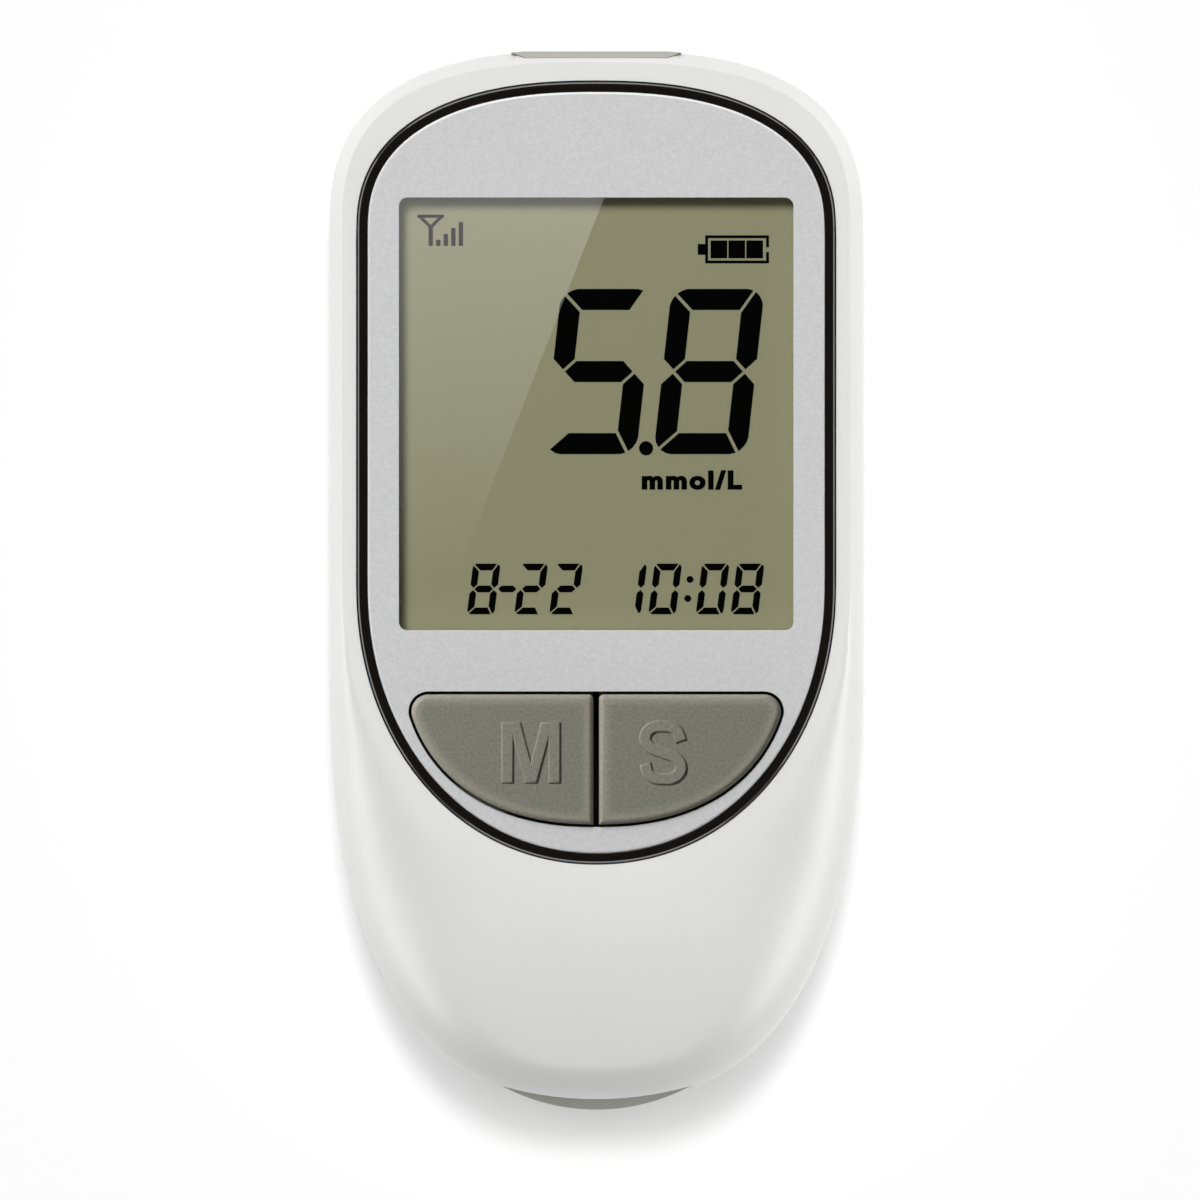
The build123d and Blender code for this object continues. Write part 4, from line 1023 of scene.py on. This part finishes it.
# the outline, and where its middle is
LETTERS = {"key_m": (m_outline, -6.85, -17.9), "key_s": (s_outline, 6.98, -17.9)}


def moved_in(outline, distance):
    """A closed outline, given clockwise or not, with all its sides moved inwards by a distance."""
    area = sum(a[0] * b[1] - b[0] * a[1] for a, b in zip(outline, outline[1:] + outline[:1]))
    inward = math.copysign(distance, area)
    moved = []
    for before, point, after in zip(outline[-1:] + outline[:-1], outline, outline[1:] + outline[:1]):
        sides = []
        for start, end in ((before, point), (point, after)):
            along = Vector((end[0] - start[0], end[1] - start[1])).normalized()
            sides.append(Vector((-along.y, along.x)))
        mitre = sides[0] + sides[1]
        moved.append(tuple(Vector(point) + mitre * inward * 2 / mitre.length_squared))
    return moved


letters = []
for node_name, (outline, x, y) in LETTERS.items():
    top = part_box(node_name)[1].z
    levels = [(0.0, -LETTER_SUNK)]
    for turn in SHOULDER_TURNS:
        bend = math.radians(turn)
        levels.append((SHOULDER * (1 - math.cos(bend)), LETTER_RISE * math.sin(bend)))
    work = bmesh.new()
    layer = work.verts.layers.float.new("from_rim")
    rings = []
    for inset, height in levels:
        places = moved_in(outline, inset) if inset else outline
        z = top + height * MM
        rings.append([work.verts.new(((x + px) * MM, (y + py) * MM, z)) for px, py in places])
    for lower, upper in zip(rings, rings[1:]):
        for i in range(len(outline)):
            j = (i + 1) % len(outline)
            work.faces.new((lower[i], lower[j], upper[j], upper[i]))
    work.faces.new(rings[-1])
    work.faces.new(rings[0])
    # A letter takes a fifth of the rim's painted paleness.
    for vertex in work.verts:
        vertex[layer] = LETTER_TONE
    for face in work.faces:
        face.smooth = True
    mesh = mesh_of(work, "letter", outwards=True)
    letter = new_piece("letter_" + node_name[-1], mesh, key_silicone)
    letter.data.set_sharp_from_angle(angle=LETTER_CREASE)
    even = letter.modifiers.new("flat_top_stays_flat", "WEIGHTED_NORMAL")
    even.keep_sharp = True
    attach(letter, node_name)
    letters.append(letter)
    print(letter.name, "faces", len(mesh.polygons))

# %% [markdown]
# ## A small studio
#
# White goods are lit by large soft boxes low at both sides, so that the flanks come out
# brighter than the front and the form reads. A bigger box past the top end lights the front. A
# box overhead gives gloss alone, which lifts level faces above sloping ones. A small box lifts
# the chin, and four low ones draw thin highlights on the ring, the plate's edges and the door.
# The display and the keys have one box each. In a studio, flags keep each lamp off what it isn't
# meant for, and here light linking does. A lamp's power follows from the share of full white
# that a white card facing it would show, so lamps compare at any distance.

# %% Lamps
def light_only(source, pieces):
    """Keeps a lamp for some pieces, as a studio's flags do."""
    group = bpy.data.collections.new(source.name + "_pieces")
    for piece in pieces:
        group.objects.link(piece)
    source.light_linking.receiver_collection = group


def soft_box(name, pieces, azimuth, elevation, distance, width, height, share):
    """A rectangular lamp that faces the meter. azimuth 0 is +X and 90 is +Y, in degrees."""
    lamp = bpy.data.lights.new(name, "AREA")
    lamp.shape = "RECTANGLE"
    lamp.size = width
    lamp.size_y = height
    lamp.energy = share * (math.pi * distance) ** 2
    source = put(name, lamp)
    source.visible_camera = False
    around, up = math.radians(azimuth), math.radians(elevation)
    source.location = distance * Vector(
        (math.cos(around) * math.cos(up), math.sin(around) * math.cos(up), math.sin(up))
    )
    source.rotation_euler = (-source.location).to_track_quat("-Z", "Y").to_euler()
    light_only(source, pieces)
    return source

# %% Who is lit by what
all_pieces = {piece for body in frame["bodies"].values() for piece in body.children_recursive}
display = {p for p in all_pieces if p.name.startswith("display_") and p.name != "display_window"}
display |= {nodes["lcd_polariser"], nodes["lcd_reflector"], nodes["window_gasket"]}
clear_parts = {nodes["display_window"], nodes["lcd_glass"]}
key_parts = {*keys, *letters}
front_parts = {ring, plate}
casing_parts = all_pieces - display - clear_parts - key_parts - front_parts

soft_box("main_box", casing_parts | front_parts, 104, 44, distance=2.0, width=1.0, height=1.1, share=0.69)
soft_box("left_box", casing_parts, 180, 17, distance=0.9, width=1.6, height=0.5, share=0.81)
soft_box("right_box", casing_parts, 0, 17, distance=0.9, width=1.6, height=0.5, share=1.08)
soft_box("low_box", casing_parts - {door}, 270, 35, distance=0.9, width=0.5, height=0.25, share=0.15)
soft_box("display_box", display, 125, 52, distance=1.0, width=0.36, height=0.36, share=0.67)
soft_box("key_box", key_parts, 145, 38, distance=1.0, width=0.25, height=0.25, share=1.05)
for side in (0, 90, 180, 270):
    soft_box(
        "rim_box_%d" % side, front_parts | {door}, side, 7, distance=0.7, width=1.0, height=0.16, share=0.29
    )
top_box = soft_box("top_box", casing_parts | {plate}, 90, 90, distance=1.0, width=0.4, height=0.4, share=0.1)
top_box.visible_diffuse = False
print("pieces of the casing:", len(casing_parts), "display:", len(display), "keys:", len(key_parts))

# %% [markdown]
# The world is a pale room that is dark overhead, as a studio's ceiling is. The window faces
# the ceiling, so the digits stay black under it. The camera sees the room as white all round.
# Gloss and clear pieces see it as white at the horizon, and as dark overhead as it is.

# %% World
world = bpy.data.worlds.new("pale_room")
world.use_nodes = True
sky = world.node_tree
sky.nodes.clear()
direction = add(sky, "ShaderNodeTexCoord").outputs["Generated"]
upward = add(sky, "ShaderNodeSeparateXYZ", Vector=direction).outputs["Z"]
DARK = 0.02
FADES = ((0.9, 0.3), (0.5, 1.0))  # how high up it is dark, and how bright the horizon is
level, horizon = (
    add(
        sky, "ShaderNodeMapRange", Value=upward, From_Min=0.0, From_Max=height, To_Min=low, To_Max=DARK
    )
    for height, low in FADES
)
rays = add(sky, "ShaderNodeLightPath").outputs
strength = level
for ray, glow in (("Is Camera Ray", 1.0), ("Is Glossy Ray", horizon), ("Is Transmission Ray", horizon)):
    seen = add(sky, "ShaderNodeMath", {"operation": "MULTIPLY"}, Value=rays[ray], Value_001=glow)
    strength = add(sky, "ShaderNodeMath", {"operation": "MAXIMUM"}, Value=strength, Value_001=seen)
room = add(sky, "ShaderNodeBackground", Color=linear("#ffffff"), Strength=strength)
add(sky, "ShaderNodeOutputWorld", Surface=room)
bpy.context.scene.world = world
print("world nodes:", len(sky.nodes))

# %% [markdown]
# The floor is a plain pale sheet. It is white to the camera, in gloss and through clear pieces.
# Of all other light it throws back only a quarter, because the meter's walls would go chalky
# over a bright floor.

# %% Floor
FLOOR_SIDE = 12.0
FLOOR_LEVEL = -0.02 * MM  # a hair below the meter, so that the two faces never share a place
FLOOR_GLOW = 0.02

half = FLOOR_SIDE / 2
corners = [(x, y, FLOOR_LEVEL) for x, y in block(-half, half, -half, half)]
floor_paper, tree, shader = new_material(
    "floor_paper", Roughness=0.9, Specular_IOR_Level=0.0, Emission_Color=linear("#ffffff")
)
rays = add(tree, "ShaderNodeLightPath").outputs
seen = rays["Is Camera Ray"]
for ray in ("Is Glossy Ray", "Is Transmission Ray"):
    seen = add(tree, "ShaderNodeMath", {"operation": "MAXIMUM"}, Value=seen, Value_001=rays[ray])
glow = add(tree, "ShaderNodeMath", {"operation": "MULTIPLY"}, Value=seen, Value_001=FLOOR_GLOW)
sheet = add(
    tree, "ShaderNodeMix", {"data_type": "RGBA"}, Factor_Float=seen,
    A_Color=linear("#8c8c8c"), B_Color=linear("#f3f3f3"),
)
fill(tree, shader, Base_Color=sheet, Emission_Strength=glow)
floor = new_piece("floor", mesh_from("floor", corners, faces=[(0, 1, 2, 3)]), floor_paper)
print("floor", FLOOR_SIDE, "m wide")

# %% [markdown]
# Far lamps light the floor alike all over. One is straight above, and hides its shadow under
# the meter. Two lean over from past the top end, and leave a soft shadow below the lower end.

# %% Lamps of the floor
for name, elevation, width, share in (  # how high and how wide it looks from here, in degrees
    ("floor_lamp_high", 90, 3, 0.46), ("floor_lamp_middle", 80, 14, 0.16), ("floor_lamp_low", 70, 12, 0.37)
):
    lamp = bpy.data.lights.new(name, "SUN")
    lamp.energy = share * math.pi
    lamp.angle = math.radians(width)
    source = put(name, lamp)
    source.rotation_euler.x = math.radians(elevation - 90)
    light_only(source, [floor])
    print(name, round(lamp.energy, 3))

# %% [markdown]
# ## The camera
#
# The meter is seen straight on, through a long lens: from more than twenty times its own length
# the sides hardly converge. The lens follows from the width that the picture shows at the
# height of the meter's front.

# %% Camera
PICTURE_WIDTH = 125.6 * MM  # across the picture, at the front's height
AIM = Vector((0.4 * MM, -1.94 * MM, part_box("front_shell")[1].z))
CAMERA_DISTANCE = 2.5
lens_data = bpy.data.cameras.new("camera")
lens_data.sensor_width = 36.0
lens_data.lens = lens_data.sensor_width * CAMERA_DISTANCE / PICTURE_WIDTH
camera = put("camera", lens_data)
camera.location = AIM + Vector((0, 0, CAMERA_DISTANCE))
bpy.context.scene.camera = camera
bpy.context.scene.view_settings.view_transform = "Standard"
print("lens", round(lens_data.lens, 1), "mm")

# %% [markdown]
# ## A reflection in the window
#
# A clear window shows that it is there by what it mirrors. A pale card hangs above the meter,
# beside the lens, and the window shows its slanting edge. Only the window's gloss sees the card:
# it casts no shadow and lights nothing. Its corners are given where the reflection lies on the
# window, and each is moved out along the mirrored line of sight to the height of the card. Its
# glow fades towards the lower end.

# %% Card
CARD_HEIGHT = 0.3
CARD_EDGE = ((2.3, 44.0), (-14.8, 0.0))  # the slanting edge, where it shows on the window, in mm
CARD_SIDE = -24.0
CARD_GLOW = 3.2

window_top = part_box("display_window")[1].z
spread = 1 + (CARD_HEIGHT - window_top) / (camera.location.z - window_top)
corners = [(CARD_SIDE, CARD_EDGE[1][1]), CARD_EDGE[1], CARD_EDGE[0], (CARD_SIDE, CARD_EDGE[0][1])]
hung = [
    (AIM.x + (x * MM - AIM.x) * spread, AIM.y + (y * MM - AIM.y) * spread, CARD_HEIGHT) for x, y in corners
]
card_paper, tree = empty_material("lit_card")
along = add(tree, "ShaderNodeSeparateXYZ", Vector=place(tree)).outputs["Y"]
low, high = (CARD_EDGE[end][1] * MM * spread for end in (1, 0))
fade = add(
    tree, "ShaderNodeMapRange", Value=along, From_Min=low, From_Max=high, To_Min=0.0, To_Max=CARD_GLOW
)
glow = add(tree, "ShaderNodeEmission", Color=linear("#ffffff"), Strength=fade)
add(tree, "ShaderNodeOutputMaterial", Surface=glow)
card = new_piece("card", mesh_from("card", hung, faces=[(3, 2, 1, 0)]), card_paper)
card.visible_camera = card.visible_diffuse = card.visible_shadow = card.visible_transmission = False
light_only(card, [nodes["display_window"]])
